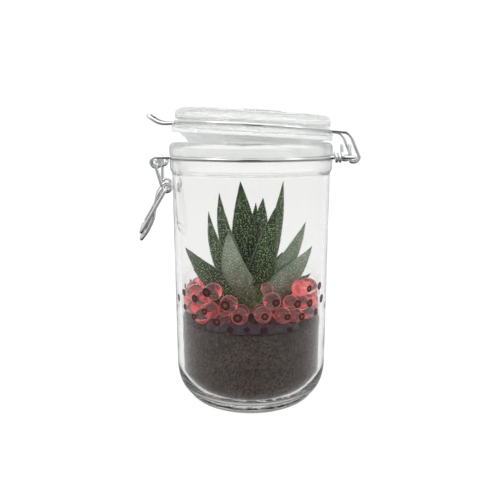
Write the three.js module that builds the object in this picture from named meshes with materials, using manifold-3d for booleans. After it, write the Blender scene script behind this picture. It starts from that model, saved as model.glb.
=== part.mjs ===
// Clip-top glass jar planted with a small speckled rosette, gel beads and dark soil.
// Millimetres, +Z up. The origin is the centre of the jar's base, on the surface it
// stands on. The hinge is at +X, the latch at -X, and the front of the jar at -Y.

import * as THREE from 'three';
import { mergeVertices } from 'three/addons/utils/BufferGeometryUtils.js';
import Module from 'manifold-3d';

const wasm = await Module();
wasm.setup();

// Driving dimensions

const GAP = 0.3;                 // running and resting clearance between separate pieces

const JAR_R = 50;                // outside of the body
const BORE_R = 46.4;             // inside of the body and of the mouth
const FOOT_R = 42.5;             // ring that the jar stands on
const FLOOR_Z = 8.5;             // top of the thick glass bottom
const HEEL_Z = 20;               // where the rounded heel meets the straight wall
const HEEL_R = 8;                // how far the heel draws in
const COLLAR_R = 51.4;           // thick band round the mouth
const COLLAR_Z = 147.2;          // underside of that band
const MOUTH_Z = 165;             // rim of the jar

const WIRE_R = 1.05;             // polished steel wire, 2.1 mm
const WIRE_SIDES = 6;
const TURN_SIDES = 32;           // facets round everything that is turned
const NECK_Z = 156.2;            // neck ring, in the collar's groove
const NECK_R = 50.4;             // centre line of the neck ring

const LID_SEAT_Z = MOUTH_Z + GAP;      // underside of the seal, with the lid closed
const SEAL_T = 2.3;                    // thickness of the seal's flat rim
const FLANGE_R = 50.3;                 // lid flange and seal rim
const FLANGE_TOP_Z = LID_SEAT_Z + 4.4;
const LID_WIRE_Z = LID_SEAT_Z + 6.1;   // lid ring, in the lid's groove
const LID_WIRE_R = 46.6;               // centre line of the lid ring
const DOME_R = 48.5;                   // thick glass disc above the groove
const DOME_Z = LID_SEAT_Z + 8;
const LID_TOP_Z = LID_SEAT_Z + 14.5;
const LID_AJAR = THREE.MathUtils.degToRad(3.2);

const HINGE = { x: 63.3, z: NECK_Z };            // crossbar that the lid swings on
const EYE_R = 2.6;                               // centre line of the neck wire's eyes
const PIVOT = { x: -59, z: NECK_Z - EYE_R - 0.1 };     // pin of the lever in those eyes
const COIL = { x: -54.4, z: 138.1 };             // coils of the lever
const COIL_R = 2.7;
const SWING = { x: COIL.x, z: COIL.z - 0.3 };    // pin of the latch loop in the coils
const ASKEW = 0.155;             // lever and loop hang askew: x for each millimetre of y
const EYE_Y = 13;                                // sideways places of the wires' legs
const LEVER_Y = 15.5;
const LATCH_Y = 18;
const LEG_Y = 14;
const ARM_Y = 17;

const SOIL_Z = 53.5;             // level of the soil under the beads
const SOIL_WAVE = 0.5;           // how far its top rises and falls
const CROWN = { x: 1.3, y: 0 };  // middle of the rosette
const BEAD_R = 5.2;              // swollen gel bead

// Finishes

const finish = (color, roughness, metalness = 0, opacity = 1) => new THREE.MeshStandardMaterial({
  color, roughness, metalness, opacity, transparent: opacity < 1,
});
const glass = finish(0xe9eff0, 0.03, 0, 0.3);
const silicone = finish(0xe4e8e6, 0.45, 0, 0.6);
const steel = finish(0xc4c6c8, 0.18, 1);
const earth = finish(0x3a3230, 0.95);
const gel = finish(0xd8323a, 0.06, 0, 0.75);
const leafSkin = finish(0x3c5a38, 0.5);
const stemSkin = finish(0x8a9a63, 0.6);

// Solids

// Shared corners merged, collapsed triangles dropped and faces turned outwards.
function closed(geometry) {
  const bare = geometry.clone();
  bare.deleteAttribute('normal');
  bare.deleteAttribute('uv');
  const merged = mergeVertices(bare, 1e-4);
  const p = merged.attributes.position;
  const a = new THREE.Vector3();
  const b = new THREE.Vector3();
  const c = new THREE.Vector3();
  const faces = [];
  let volume = 0;
  for (let i = 0; i < merged.index.count; i += 3) {
    const [u, v, w] = [0, 1, 2].map((k) => merged.index.getX(i + k));
    if (u === v || v === w || w === u) continue;
    faces.push(u, v, w);
    a.fromBufferAttribute(p, u);
    volume += a.dot(b.fromBufferAttribute(p, v).cross(c.fromBufferAttribute(p, w)));
  }
  if (volume < 0) faces.reverse();
  merged.setIndex(faces);
  return merged;
}

function toSolid(geometry) {
  const g = closed(geometry);
  return new wasm.Manifold(new wasm.Mesh({
    numProp: 3,
    vertProperties: new Float32Array(g.attributes.position.array),
    triVerts: new Uint32Array(g.index.array),
  }));
}

function toGeometry(solid) {
  const mesh = solid.getMesh();
  const geometry = new THREE.BufferGeometry();
  geometry.setAttribute('position', new THREE.BufferAttribute(mesh.vertProperties, 3));
  geometry.setIndex(new THREE.BufferAttribute(mesh.triVerts, 1));
  return geometry;
}

const joined = (solids) => solids.reduce((all, next) => all.add(next));

// The biggest body of a solid, without the scraps that a cut leaves.
const mainBody = (solid) => solid.decompose().reduce((a, b) => (a.volume() > b.volume() ? a : b));

function piece(name, geometry, material) {
  const shown = closed(geometry);
  shown.computeVertexNormals();
  const mesh = new THREE.Mesh(shown, material);
  mesh.name = name;
  return mesh;
}

// Outlines and turned shapes

// Points [r, z] of a quarter or part of an ellipse, from angle a to angle b in degrees.
function arc(r, z, rr, rz, a, b, steps) {
  return Array.from({ length: steps + 1 }, (_, i) => {
    const t = THREE.MathUtils.degToRad(a + ((b - a) * i) / steps);
    return [r + rr * Math.cos(t), z + rz * Math.sin(t)];
  });
}

// A turned solid about +Z: the outline is a list of [r, z].
function turned(outline, closes = false, sides = TURN_SIDES) {
  const points = outline.map(([r, z]) => new THREE.Vector2(r, z));
  if (closes) points.push(points[0].clone());
  return new THREE.LatheGeometry(points, sides).rotateX(Math.PI / 2);
}

const ring = (r, z) => new THREE.TorusGeometry(r, WIRE_R, WIRE_SIDES, TURN_SIDES).translate(0, 0, z);

// A ring that stands upright across Y, such as an eye or a coil bent in the wire.
const eye = (x, y, z, r) => new THREE.TorusGeometry(r, WIRE_R, WIRE_SIDES, 12)
  .rotateX(Math.PI / 2).translate(x, y, z);

// Wires

// A curve that takes the same number of steps between any two of its points.
class WirePath extends THREE.CatmullRomCurve3 {
  getUtoTmapping(u) {
    return u;
  }
}

// Corners of a bent wire, each rounded to the radius r in three steps.
function bent(corners, r) {
  const at = corners.map((c) => new THREE.Vector3(...c));
  const path = [at[0]];
  for (let i = 1; i < at.length - 1; i += 1) {
    const back = at[i - 1].clone().sub(at[i]);
    const ahead = at[i + 1].clone().sub(at[i]);
    const reach = Math.min(r, back.length() * 0.45, ahead.length() * 0.45);
    const from = at[i].clone().addScaledVector(back.normalize(), reach);
    const to = at[i].clone().addScaledVector(ahead.normalize(), reach);
    const corner = new THREE.QuadraticBezierCurve3(from, at[i], to);
    path.push(...corner.getPoints(3));
  }
  path.push(at[at.length - 1]);
  return path;
}

function wire(points) {
  const path = new WirePath(points);
  const section = new THREE.Shape(
    Array.from({ length: WIRE_SIDES }, (_, i) => new THREE.Vector2(
      WIRE_R * Math.cos((2 * Math.PI * i) / WIRE_SIDES),
      WIRE_R * Math.sin((2 * Math.PI * i) / WIRE_SIDES),
    )),
  );
  return toSolid(new THREE.ExtrudeGeometry(section, {
    steps: points.length - 1,
    extrudePath: path,
    bevelEnabled: false,
  }));
}

// The same wire on both sides of the middle plane.
const mirrored = (corners) => corners.map(([x, y, z]) => [x, -y, z]);
const straight = (corners) => corners;
const pair = (corners, r, lean = straight) => [corners, mirrored(corners)]
  .map((side) => wire(bent(lean(side), r)));

// A loop: one side from its start, across the closed end, and back along the other side.
const loop = (side, r, lean = straight) => wire(
  bent(lean([...side, ...mirrored(side).reverse()]), r),
);

// Jar

function jar() {
  const grooveR = NECK_R - WIRE_R - GAP;
  const grooveHalf = WIRE_R + GAP;
  const innerHeelZ = HEEL_Z + 1;
  const outline = [
    [0, 0], [FOOT_R - 1, 0], [FOOT_R, 1],
    ...arc(JAR_R - HEEL_R, HEEL_Z, HEEL_R, HEEL_Z - 3, -80, 0, 4),
    [JAR_R, COLLAR_Z], [COLLAR_R, COLLAR_Z + 2],
    [COLLAR_R, NECK_Z - grooveHalf], [grooveR, NECK_Z - grooveHalf],
    [grooveR, NECK_Z + grooveHalf], [COLLAR_R, NECK_Z + grooveHalf],
    ...arc(COLLAR_R - 3, MOUTH_Z - 3, 3, 3, 0, 90, 2),
    [BORE_R + 0.8, MOUTH_Z - 0.3], [BORE_R, MOUTH_Z - 1.6],
    ...arc(BORE_R - HEEL_R, innerHeelZ, HEEL_R, innerHeelZ - FLOOR_Z, 0, -90, 3),
    [0, FLOOR_Z],
  ];
  return piece('jar', turned(outline), glass);
}

// The neck ring with its latch eyes in front and, behind, the coils and the hinge frame.
function neckBand() {
  const front = -Math.sqrt(NECK_R ** 2 - EYE_Y ** 2);
  const back = Math.sqrt(NECK_R ** 2 - ARM_Y ** 2);
  const coilR = 3.1;
  const coilX = [51.6, 53.6];
  const coilY = ARM_Y + 1.6;
  const coil = (x, y) => new THREE.TorusGeometry(coilR, WIRE_R, WIRE_SIDES, 10)
    .rotateY(Math.PI / 2).translate(x, y, NECK_Z);
  const parts = [toSolid(ring(NECK_R, NECK_Z))];
  for (const side of [-1, 1]) {
    const arm = [[front, side * EYE_Y, NECK_Z], [PIVOT.x, side * EYE_Y, NECK_Z]];
    parts.push(wire(arm.map((p) => new THREE.Vector3(...p))));
    parts.push(toSolid(eye(PIVOT.x, side * EYE_Y, NECK_Z - EYE_R, EYE_R)));
    coilX.forEach((x) => parts.push(toSolid(coil(x, side * coilY))));
  }
  parts.push(loop([[back, -ARM_Y, NECK_Z], [HINGE.x, -ARM_Y, HINGE.z]], 2.4));
  return piece('neck_band', toGeometry(joined(parts)), steel);
}

// Lid, drawn closed

function lid() {
  const grooveR = LID_WIRE_R - WIRE_R - GAP;
  const sealTop = LID_SEAT_Z + SEAL_T + GAP;
  const outline = [
    [0, LID_TOP_Z - 5], [28, LID_TOP_Z - 6], [33.5, LID_TOP_Z - 9],
    [34, LID_SEAT_Z - 7.4], [37.4, LID_SEAT_Z - 7.4], [40.6, LID_SEAT_Z - 2.5],
    [43, sealTop], [FLANGE_R, sealTop],
    [FLANGE_R, FLANGE_TOP_Z - 0.8], [FLANGE_R - 0.8, FLANGE_TOP_Z],
    [grooveR, FLANGE_TOP_Z], [grooveR, DOME_Z],
    ...arc(DOME_R - 1.5, DOME_Z + 1.5, 1.5, 1.5, -90, 0, 2),
    ...arc(DOME_R - 3.4, LID_TOP_Z - 3.4, 3.4, 3.4, 0, 90, 3),
    [0, LID_TOP_Z - 0.6],
  ];
  return piece('lid', turned(outline), glass);
}

// The seal: a flat rim under the flange and a skirt that narrows into the mouth.
function sealRing() {
  const top = LID_SEAT_Z + SEAL_T;
  const outline = [
    [FLANGE_R, LID_SEAT_Z], [FLANGE_R, top],
    [43.1, top], [41.1, LID_SEAT_Z - 2.4], [38.1, LID_SEAT_Z - 7],
    [39.2, LID_SEAT_Z - 7.6], [39.9, LID_SEAT_Z - 5.6], [42.2, LID_SEAT_Z - 2.8],
    [44.3, LID_SEAT_Z - 1.2], [47.6, LID_SEAT_Z],
  ];
  return piece('seal_ring', turned(outline, true), silicone);
}

// The lid ring, its pull tab in front and the two hooked legs that hang on the crossbar.
function lidBand() {
  const tabY = 6;
  const tabStart = Math.sqrt(LID_WIRE_R ** 2 - tabY ** 2);
  const legStart = Math.sqrt(LID_WIRE_R ** 2 - LEG_Y ** 2);
  const { x, z } = HINGE;
  const leg = [
    [legStart, LEG_Y, LID_WIRE_Z], [x - 6.2, LEG_Y, LID_WIRE_Z - 0.4],
    [x - 3.2, LEG_Y, z + 12.3], [x + 3.1, LEG_Y, z - 0.1],
    [x + 1.2, LEG_Y, z - 2.7], [x - 2.7, LEG_Y, z - 2.9], [x - 3.7, LEG_Y, z + 7],
  ];
  const tab = [
    [-tabStart, tabY, LID_WIRE_Z], [-57.5, tabY, LID_WIRE_Z - 1], [-65.3, tabY, LID_WIRE_Z + 3.4],
  ];
  const parts = [toSolid(ring(LID_WIRE_R, LID_WIRE_Z)), loop(tab, 4), ...pair(leg, 2.6)];
  return piece('lid_band', toGeometry(joined(parts)), steel);
}

// Latch

// The lever is held loosely, so it hangs askew: none at its pins, and in full from the coils down.
const askew = (corners) => corners.map(([x, y, z]) => {
  const share = Math.min((PIVOT.z - z) / (PIVOT.z - COIL.z), 1);
  return [x - ASKEW * y * share, y, z];
});

// The lever: pins in the neck eyes, a coil on each side and the curved handle between.
function lever() {
  const coilFront = [COIL.x - COIL_R, LEVER_Y, COIL.z];
  const leg = [[PIVOT.x, LEVER_Y - 5, PIVOT.z], [PIVOT.x, LEVER_Y, PIVOT.z], coilFront];
  const handle = [
    coilFront, [-61.2, LEVER_Y, 131], [-62.3, LEVER_Y, 124], [-63.4, LEVER_Y, 118],
    [-67.6, LEVER_Y, 110.2], [-71.6, LEVER_Y, 105.2],
  ];
  const coils = askew([-1, 1].map((side) => [COIL.x, side * LEVER_Y, COIL.z]))
    .map(([x, y, z]) => toSolid(eye(x, y, z, COIL_R)));
  const parts = [...pair(leg, 1.8, askew), ...coils, loop(handle, 4, askew)];
  return piece('lever', toGeometry(joined(parts)), steel);
}

// The latch loop, which hooks over the lid's tab when the jar is clipped shut.
function latchLoop() {
  const side = [
    [SWING.x, LATCH_Y - 5.6, SWING.z], [SWING.x, LATCH_Y, SWING.z], [-71.4, LATCH_Y, 110],
  ];
  return piece('latch_loop', toGeometry(loop(side, 3, askew)), steel);
}

// Plant

// Rows of the rosette from the inner leaves out: tip [x, y, z], widest width, the side
// that the leaf grows to and the side that its keel faces (degrees from +X), its slope
// at the root and its root's height.
const LEAVES = [
  [[-6.9, 6, 140.6], 20, 122, 98, 78, 65], [[21, 3, 141], 18, 20, 322, 66, 65],
  [[8.2, 12, 129.2], 17, 62, 80, 82, 65], [[-21, 5, 133.3], 15, 165, 238, 58, 64],
  [[15, -14, 125.8], 17.5, 300, 286, 68, 61], [[1.6, -15, 85], 8, 268, 270, 50, 66],
  [[-13.5, -22, 112.6], 20.5, 230, 248, 45, 60], [[-27.4, -4, 122.2], 14, 198, 240, 42, 62],
  [[3.5, 20, 125], 12, 88, 88, 72, 62], [[36.2, 1, 114.4], 14, 350, 290, 46, 62],
  [[23, 24, 94], 13, 42, 42, 50, 62], [[-19, 27, 112], 13, 128, 128, 58, 62],
  [[-42, -10, 99.7], 17.5, 215, 262, 26, 60], [[39.7, -7, 99.9], 16.5, 328, 280, 32, 60],
  [[3, 39, 94], 13, 85, 85, 34, 60], [[42, 8, 77.8], 11, 10, 290, 12, 59.5],
  [[-41, 12, 79.8], 11, 170, 245, 12, 59.5], [[27, 32, 78], 12, 50, 50, 18, 59.5],
  [[-26, 32, 74], 12, 128, 128, 18, 59.5],
];
const LEAF_T = 4.6;              // thickness of a leaf near its root
const TOOTH = 0.35;              // height of the saw teeth on its edges
const WIDEST = 0.35;             // where it is widest, as a share of its length

// Share of the widest width at t, from 0 at the root to 1 at the tip.
function taper(t) {
  const share = t < WIDEST
    ? 0.74 + 0.26 * Math.sin((t / WIDEST) * (Math.PI / 2))
    : 1 - ((t - WIDEST) / (1 - WIDEST)) ** 1.6;
  return Math.max(share, 0.06);
}

// A fleshy pointed blade: channelled above, keeled below, with small teeth on both edges.
// swell thickens it all round, to make the room that its neighbours leave for it.
function blade([tip, width, side, face, slope, rootZ], swell = 0) {
  const turn = THREE.MathUtils.degToRad(side);
  const look = THREE.MathUtils.degToRad(face);
  const rise = THREE.MathUtils.degToRad(slope);
  const out = new THREE.Vector3(Math.cos(turn), Math.sin(turn), 0);
  const ahead = new THREE.Vector3(Math.cos(look), Math.sin(look), 0);
  const root = new THREE.Vector3(CROWN.x, CROWN.y, rootZ).addScaledVector(out, 4);
  const end = new THREE.Vector3(...tip);
  const length = root.distanceTo(end);
  const handle = root.clone().addScaledVector(out, 0.5 * length * Math.cos(rise));
  handle.z += 0.5 * length * Math.sin(rise);
  const spine = new THREE.QuadraticBezierCurve3(root, handle, end);
  const stations = Math.max(6, Math.round(length / 7));
  const points = [];
  for (let i = 0; i < stations; i += 1) {
    const t = i / stations;
    const tooth = i % 2 ? TOOTH : -TOOTH;
    const half = (width / 2) * taper(t) + tooth + swell;
    const thick = LEAF_T * (1 - 0.72 * t) + swell;
    const along = spine.getTangent(t);
    const across = along.clone().cross(ahead).normalize();
    const keel = across.clone().cross(along).normalize();
    const edge = -0.3 * half - swell * 0.4;
    const shoulder = 0.42 * thick + swell * 0.6;
    const section = [
      [-half, edge], [-0.55 * half, shoulder], [0, 0.66 * thick + swell * 0.8],
      [0.55 * half, shoulder], [half, edge], [0, -0.34 * thick - swell],
    ];
    for (const [s, k] of section) {
      points.push(spine.getPoint(t).addScaledVector(across, s).addScaledVector(keel, k));
    }
  }
  points.push(root, end.clone().addScaledVector(spine.getTangent(1), swell));
  const sides = 6;
  const faces = [];
  for (let j = 0; j < sides; j += 1) {
    const n = (j + 1) % sides;
    faces.push(points.length - 2, n, j);
    for (let i = 0; i < stations - 1; i += 1) {
      const [a, b] = [i * sides + j, i * sides + n];
      faces.push(a, b, a + sides, b, b + sides, a + sides);
    }
    const last = (stations - 1) * sides;
    faces.push(last + j, last + n, points.length - 1);
  }
  const geometry = new THREE.BufferGeometry().setFromPoints(points);
  geometry.setIndex(faces);
  return toSolid(geometry);
}

// The short stem that carries the leaves, with its root end in a plain hole in the soil.
const CROWN_OUTLINE = [
  [0, 42], [4, 42], [5, 44], [5.5, 57], [8, 60], [7.4, 64], [4.5, 69], [0, 70.5],
];
function crownShape(swell = 0) {
  const outline = CROWN_OUTLINE.map(([r, z], i) => [r ? r + swell : 0, z + (i < 3 ? -swell : swell)]);
  return toSolid(turned(outline, false, 12).translate(CROWN.x, CROWN.y, 0));
}

// Gel beads

// Azimuth is in degrees from the front (-Y) towards the hinge (+X), and inset is the
// distance from the glass inwards. In front each bead lies where it is seen from outside:
// [azimuth, height, radius, inset].
const FRONT_BEADS = [
  [-74, 63.5, 5.2, 0], [-65, 71.5, 5.3, 0], [-57, 62, 4.8, 0], [-49, 58, 5, 0], [-44, 71, 5.2, 0],
  [-37, 66, 5, 0], [-33, 77.5, 5.5, 0], [-27, 60, 4.8, 0], [-19, 71, 5.4, 0], [-9, 64, 5.1, 0],
  [9, 64, 5.2, 0], [19, 73, 5.4, 0], [25, 62, 5, 0], [16, 79, 3.9, 8], [35, 70, 5, 0], [41, 60, 5, 0],
  [47, 78, 5.3, 0], [50, 69, 5, 0], [57, 60, 5, 0], [61, 77, 5.4, 0], [66, 67, 5.1, 0],
];
const SUNK_BEADS = [[-15, 56, 4.2, 0], [-3, 56.5, 4.2, 0], [9, 56, 4.2, 0], [29, 54.5, 4.2, 0]];

// Everywhere else they lie in courses, and a looser ring fills in behind.
const COURSES = [
  { count: 28, inset: 0, z: SOIL_Z + 6, from: 72, thin: 0 },
  { count: 28, inset: 0.5, z: SOIL_Z + 13.5, from: 76, thin: 0.1 },
  { count: 17, inset: 8.5, z: SOIL_Z + 9, from: 0, thin: 0.15 },
];
const PRESSED = 0.8;             // how far two beads that touch are pressed together
const NEAR = 1.6;                // beads no further apart than this are drawn together
const ROUNDS = 60;               // steps that they take to settle
const FACETED = 1.08;            // a faceted bead reaches this much further than a round one

// A repeatable draw from 0 to 1.
let seed = 20417;
function draw() {
  seed = (seed * 1664525 + 1013904223) % 4294967296;
  return seed / 4294967296;
}

function beadAt([azimuth, z, r, inset], sunk = false) {
  const turn = THREE.MathUtils.degToRad(azimuth);
  const away = BORE_R - GAP - r * FACETED - inset;
  return { at: new THREE.Vector3(away * Math.sin(turn), -away * Math.cos(turn), z), r, sunk };
}

// Beads that nearly touch are drawn together, those too close are pushed apart, and all
// stay inside the glass and on the soil.
function settle(beads) {
  const step = new THREE.Vector3();
  for (let round = 0; round < ROUNDS; round += 1) {
    beads.forEach((a, i) => {
      for (const b of beads.slice(i + 1)) {
        step.subVectors(b.at, a.at);
        const apart = step.length() - (a.r + b.r - PRESSED);
        if (apart > NEAR) continue;
        step.setLength(apart * 0.25);
        if (!a.sunk) a.at.add(step);
        if (!b.sunk) b.at.sub(step);
      }
    });
    for (const { at, r, sunk } of beads) {
      const far = Math.hypot(at.x, at.y) / (BORE_R - GAP - r * FACETED);
      if (far > 1) at.set(at.x / far, at.y / far, at.z);
      if (!sunk) at.z = Math.max(at.z, SOIL_Z + SOIL_WAVE + GAP + r * FACETED);
    }
  }
}

function beadPlaces() {
  const beads = [
    ...SUNK_BEADS.map((row) => beadAt(row, true)),
    ...FRONT_BEADS.map((row) => beadAt(row)),
  ];
  COURSES.forEach(({ count, inset, z, from, thin }, course) => {
    for (let i = 0; i < count; i += 1) {
      const azimuth = ((i + course / 2) / count) * 360 - 180;
      const r = BEAD_R - 0.5 * draw();
      const height = z + 2 * (draw() - 0.5);
      const kept = Math.abs(azimuth) >= from && draw() >= thin;
      if (kept) beads.push(beadAt([azimuth, height, r, inset]));
    }
  });
  settle(beads);
  return beads;
}

function ball({ at, r }, swell = 0) {
  const geometry = new THREE.OctahedronGeometry(r * FACETED + swell, 1);
  return toSolid(geometry.rotateX(at.y).rotateZ(at.x).translate(at.x, at.y, at.z));
}

// Soil

// A turned plug with an uneven top, hollowed where the beads and the crown sit in it.
function soilShape() {
  const r = BORE_R - GAP;
  const floor = FLOOR_Z + GAP;
  const outline = [
    [0, floor], ...arc(r - HEEL_R, HEEL_Z + 1, HEEL_R, HEEL_Z + 1 - floor, -90, 0, 3),
    [r, SOIL_Z], [34, SOIL_Z], [20, SOIL_Z], [0, SOIL_Z],
  ];
  const geometry = turned(outline);
  const p = geometry.attributes.position;
  for (let i = 0; i < p.count; i += 1) {
    const wave = SOIL_WAVE * Math.sin(p.getX(i) * 0.31 + 1) * Math.cos(p.getY(i) * 0.27);
    if (p.getZ(i) > SOIL_Z - 1) p.setZ(i, p.getZ(i) + wave);
  }
  return toSolid(geometry);
}

// Assembly

const model = new THREE.Group();
model.add(jar(), neckBand());

const lidGroup = new THREE.Group();
lidGroup.position.set(HINGE.x, 0, HINGE.z);
lidGroup.rotation.y = LID_AJAR;
for (const part of [lid(), sealRing(), lidBand()]) {
  part.position.set(-HINGE.x, 0, -HINGE.z);
  lidGroup.add(part);
}
model.add(lidGroup, lever(), latchLoop());

const crown = crownShape();
model.add(piece('crown', toGeometry(crown), stemSkin));

let taken = crownShape(GAP);
LEAVES.forEach((row, i) => {
  const leaf = mainBody(blade(row).subtract(taken));
  model.add(piece(`leaf_${String(i + 1).padStart(2, '0')}`, toGeometry(leaf), leafSkin));
  taken = taken.add(blade(row, GAP));
});

const places = beadPlaces();
const beads = mainBody(joined(places.map((bead) => ball(bead))).subtract(taken));
model.add(piece('gel_beads', toGeometry(beads), gel));

const room = joined(places.filter((bead) => bead.sunk).map((bead) => ball(bead, GAP)));
const soil = mainBody(soilShape().subtract(room).subtract(crownShape(GAP)).subtract(taken));
model.add(piece('soil', toGeometry(soil), earth));

export default model;
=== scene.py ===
# %% [markdown]
# # A clip-top jar planted with a speckled rosette
#
# The object is a one litre preserving jar of clear pressed glass. Its lid hangs a few degrees
# ajar on a wire hinge, and a wire lever with a loop clips it shut. Inside are dark potting soil,
# a layer of red gel beads and a small rosette of fleshy, white-dotted leaves.
#
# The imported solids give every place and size. This script loads them first, and then makes a
# finer piece for each one: turned glass, bent wire, leaf blades, round beads and crumbly soil.
# All lengths below are millimetres in the same frame: +Z up, the origin on the table under the
# middle of the jar, the hinge at +X, the latch at -X and the front at -Y.

# %% Load the frame

import math
import random

import bmesh
import bpy
from mathutils import Matrix, Vector, noise


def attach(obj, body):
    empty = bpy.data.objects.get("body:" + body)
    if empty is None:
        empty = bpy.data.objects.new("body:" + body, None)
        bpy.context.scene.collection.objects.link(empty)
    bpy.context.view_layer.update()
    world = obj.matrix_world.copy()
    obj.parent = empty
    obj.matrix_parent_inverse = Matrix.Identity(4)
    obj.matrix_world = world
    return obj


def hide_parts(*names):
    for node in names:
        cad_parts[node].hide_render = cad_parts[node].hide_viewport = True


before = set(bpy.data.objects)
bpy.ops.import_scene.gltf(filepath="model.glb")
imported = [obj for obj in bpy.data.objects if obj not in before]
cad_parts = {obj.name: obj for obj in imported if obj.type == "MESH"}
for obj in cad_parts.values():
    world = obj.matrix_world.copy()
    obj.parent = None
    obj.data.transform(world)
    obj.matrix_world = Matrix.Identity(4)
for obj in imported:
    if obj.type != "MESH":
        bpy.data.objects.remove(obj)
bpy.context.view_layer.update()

MM = 0.001
scene = bpy.context.scene
print("nodes in the frame:", len(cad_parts))

# %% [markdown]
# ## Camera
#
# The photo was taken with a normal lens, about a third of a metre from the jar and a little
# above its mouth, looking down by some twelve degrees. A camera is an object with a lens: it
# could be aimed with a constraint, but a place and one tilt are easier to read and to change.

# %% Camera

CAMERA_AT = (-0.65, -340.0, 169.1)
CAMERA_DOWN = math.radians(12.26)
LENS = 37.84

camera_data = bpy.data.cameras.new("camera")
camera_data.lens = LENS
camera_data.clip_start = 0.01
camera = bpy.data.objects.new("camera", camera_data)
camera.location = Vector(CAMERA_AT) * MM
camera.rotation_euler = (math.pi / 2 - CAMERA_DOWN, 0, 0)
scene.collection.objects.link(camera)
scene.camera = camera
print("lens", LENS, "mm")

# %% [markdown]
# ## Small helpers
#
# Three things come up for every piece. A colour is written as the sRGB hex that one would pick
# on a screen, and one function turns it to the linear light that shaders need. A mesh is made
# from plain lists of points and faces in millimetres. And the piece is tied to the frame: it
# rides on a body, takes its material, and stands for the plain solid that it refines.

# %% Colours

def linear(code):
    """The linear colour, with alpha 1, of an sRGB hex such as '3c5a38'."""
    parts = [int(code[i:i + 2], 16) / 255 for i in (0, 2, 4)]
    return tuple(c / 12.92 if c <= 0.04045 else ((c + 0.055) / 1.055) ** 2.4 for c in parts) + (1,)


# %% Nodes

def add(tree, kind, inputs=None, stops=(), **settings):
    """A new shader node. inputs maps a socket's name or number to a value or a socket to link,
    and stops are a colour ramp's positions and RGBA colours."""
    node = tree.nodes.new("ShaderNode" + kind)
    for name, value in settings.items():
        setattr(node, name, value)
    if stops:
        elements = node.color_ramp.elements
        elements.remove(elements[1])
        elements[0].position, elements[0].color = stops[0]
        for position, colour in stops[1:]:
            elements.new(position).color = colour
    for key, value in (inputs or {}).items():
        if isinstance(value, bpy.types.NodeSocket):
            tree.links.new(value, node.inputs[key])
        else:
            node.inputs[key].default_value = value
    return node


def new_material(name):
    """A node material, and its empty tree."""
    material = bpy.data.materials.new(name)
    material.use_nodes = True
    material.node_tree.nodes.clear()
    return material, material.node_tree


# %% Meshes

def new_object(name, points, faces, material, smooth=False):
    """A mesh object from points in millimetres."""
    mesh = bpy.data.meshes.new(name)
    mesh.from_pydata([Vector(p) * MM for p in points], [], faces)
    mesh.polygons.foreach_set("use_smooth", [smooth] * len(mesh.polygons))
    mesh.materials.append(material)
    mesh.update()
    made = bpy.data.objects.new(name, mesh)
    scene.collection.objects.link(made)
    return made


def make_piece(name, points, faces, material, body, nodes=(), smooth=True):
    """A piece from points in millimetres, tied to the frame."""
    piece = new_object(name, points, faces, material, smooth)
    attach(piece, body)
    if nodes:
        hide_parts(*nodes)
    return piece


def triangles(piece):
    return sum(len(p.vertices) - 2 for p in piece.data.polygons)


def mesh_values(piece, name, numbers):
    """Stores one number for each point of a piece, which a material can read by its name."""
    layer = piece.data.attributes.new(name, "FLOAT", "POINT")
    layer.data.foreach_set("value", numbers)


def gather(points, faces, more, more_faces):
    """Adds one more shape to the points and faces of a piece that is being gathered."""
    faces += [[len(points) + k for k in face] for face in more_faces]
    points += more


# %% [markdown]
# ## Studio
#
# The jar stands on a white light table, in front of white. Such a background would also mirror
# in the front of the glass and veil what is inside, so a photographer keeps what the glass can
# mirror dark. Here only mirrored rays meet a tent, in place of the table and the room. Its floor
# is black, its cloth grey low down and white high up, and the lens and the light pass it, so the
# jar looks alike from every side. The steel mirrors it as a pale upper edge over a darker lower
# one, with the softboxes as bright lines between them. A dark figure by the tent's front gives
# each bent wire the short dark length in its middle.

# %% Room

SKY_TONES = [(0.42, "ffffff"), (0.72, "a9acae")]    # white all round and grey overhead
SKY_LIGHT = 1.02

scene.view_settings.view_transform = "Standard"

world = bpy.data.worlds.new("studio")
scene.world = world
world.use_nodes = True
world.node_tree.nodes.clear()
sky = world.node_tree
direction = add(sky, "SeparateXYZ", {0: add(sky, "TexCoord").outputs["Generated"]})
height = add(sky, "ValToRGB", {0: direction.outputs["Z"]},
             stops=[(share, linear(code)) for share, code in SKY_TONES])
light = add(sky, "Background", {"Color": height.outputs["Color"], "Strength": SKY_LIGHT})
add(sky, "OutputWorld", {"Surface": light.outputs[0]})
print("sky", SKY_TONES)

# %% Table and tent

TABLE_HALF = 12000
TABLE_GLOW = 0.935      # just short of white, so that lamps and shadows still show on the table
TABLE_GRAINS = 900.0    # grains of its matt skin in a metre
TENT_R, TENT_HIGH, TENT_LOW, TENT_SIDES = 1500, 1900, -1500, 48

# Shares of the tent's height and their tones. Its floor, at exactly 0, is black.
TENT_TONES = [
    (0.0, "000000"), (0.0, "7e8082"), (0.10, "8c8e90"), (0.24, "b0b2b4"), (0.33, "bcbebf"),
    (0.46, "bcbebf"), (0.52, "d4d6d6"), (0.66, "f6f6f6"), (1.0, "ffffff"),
]
# The dark figure's edges and the softness of them, as shares of the tent's width and height.
FIGURE = {"left": 0.37, "right": 0.63, "front": 0.25, "top": 0.57, "soft": 0.03}
FIGURE_EDGES = (("X", "left", 1), ("X", "right", -1), ("Y", "front", -1), ("Z", "top", -1))


def stage_piece(name, points, faces, material):
    piece = new_object(name, points, faces, material)
    return piece


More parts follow.
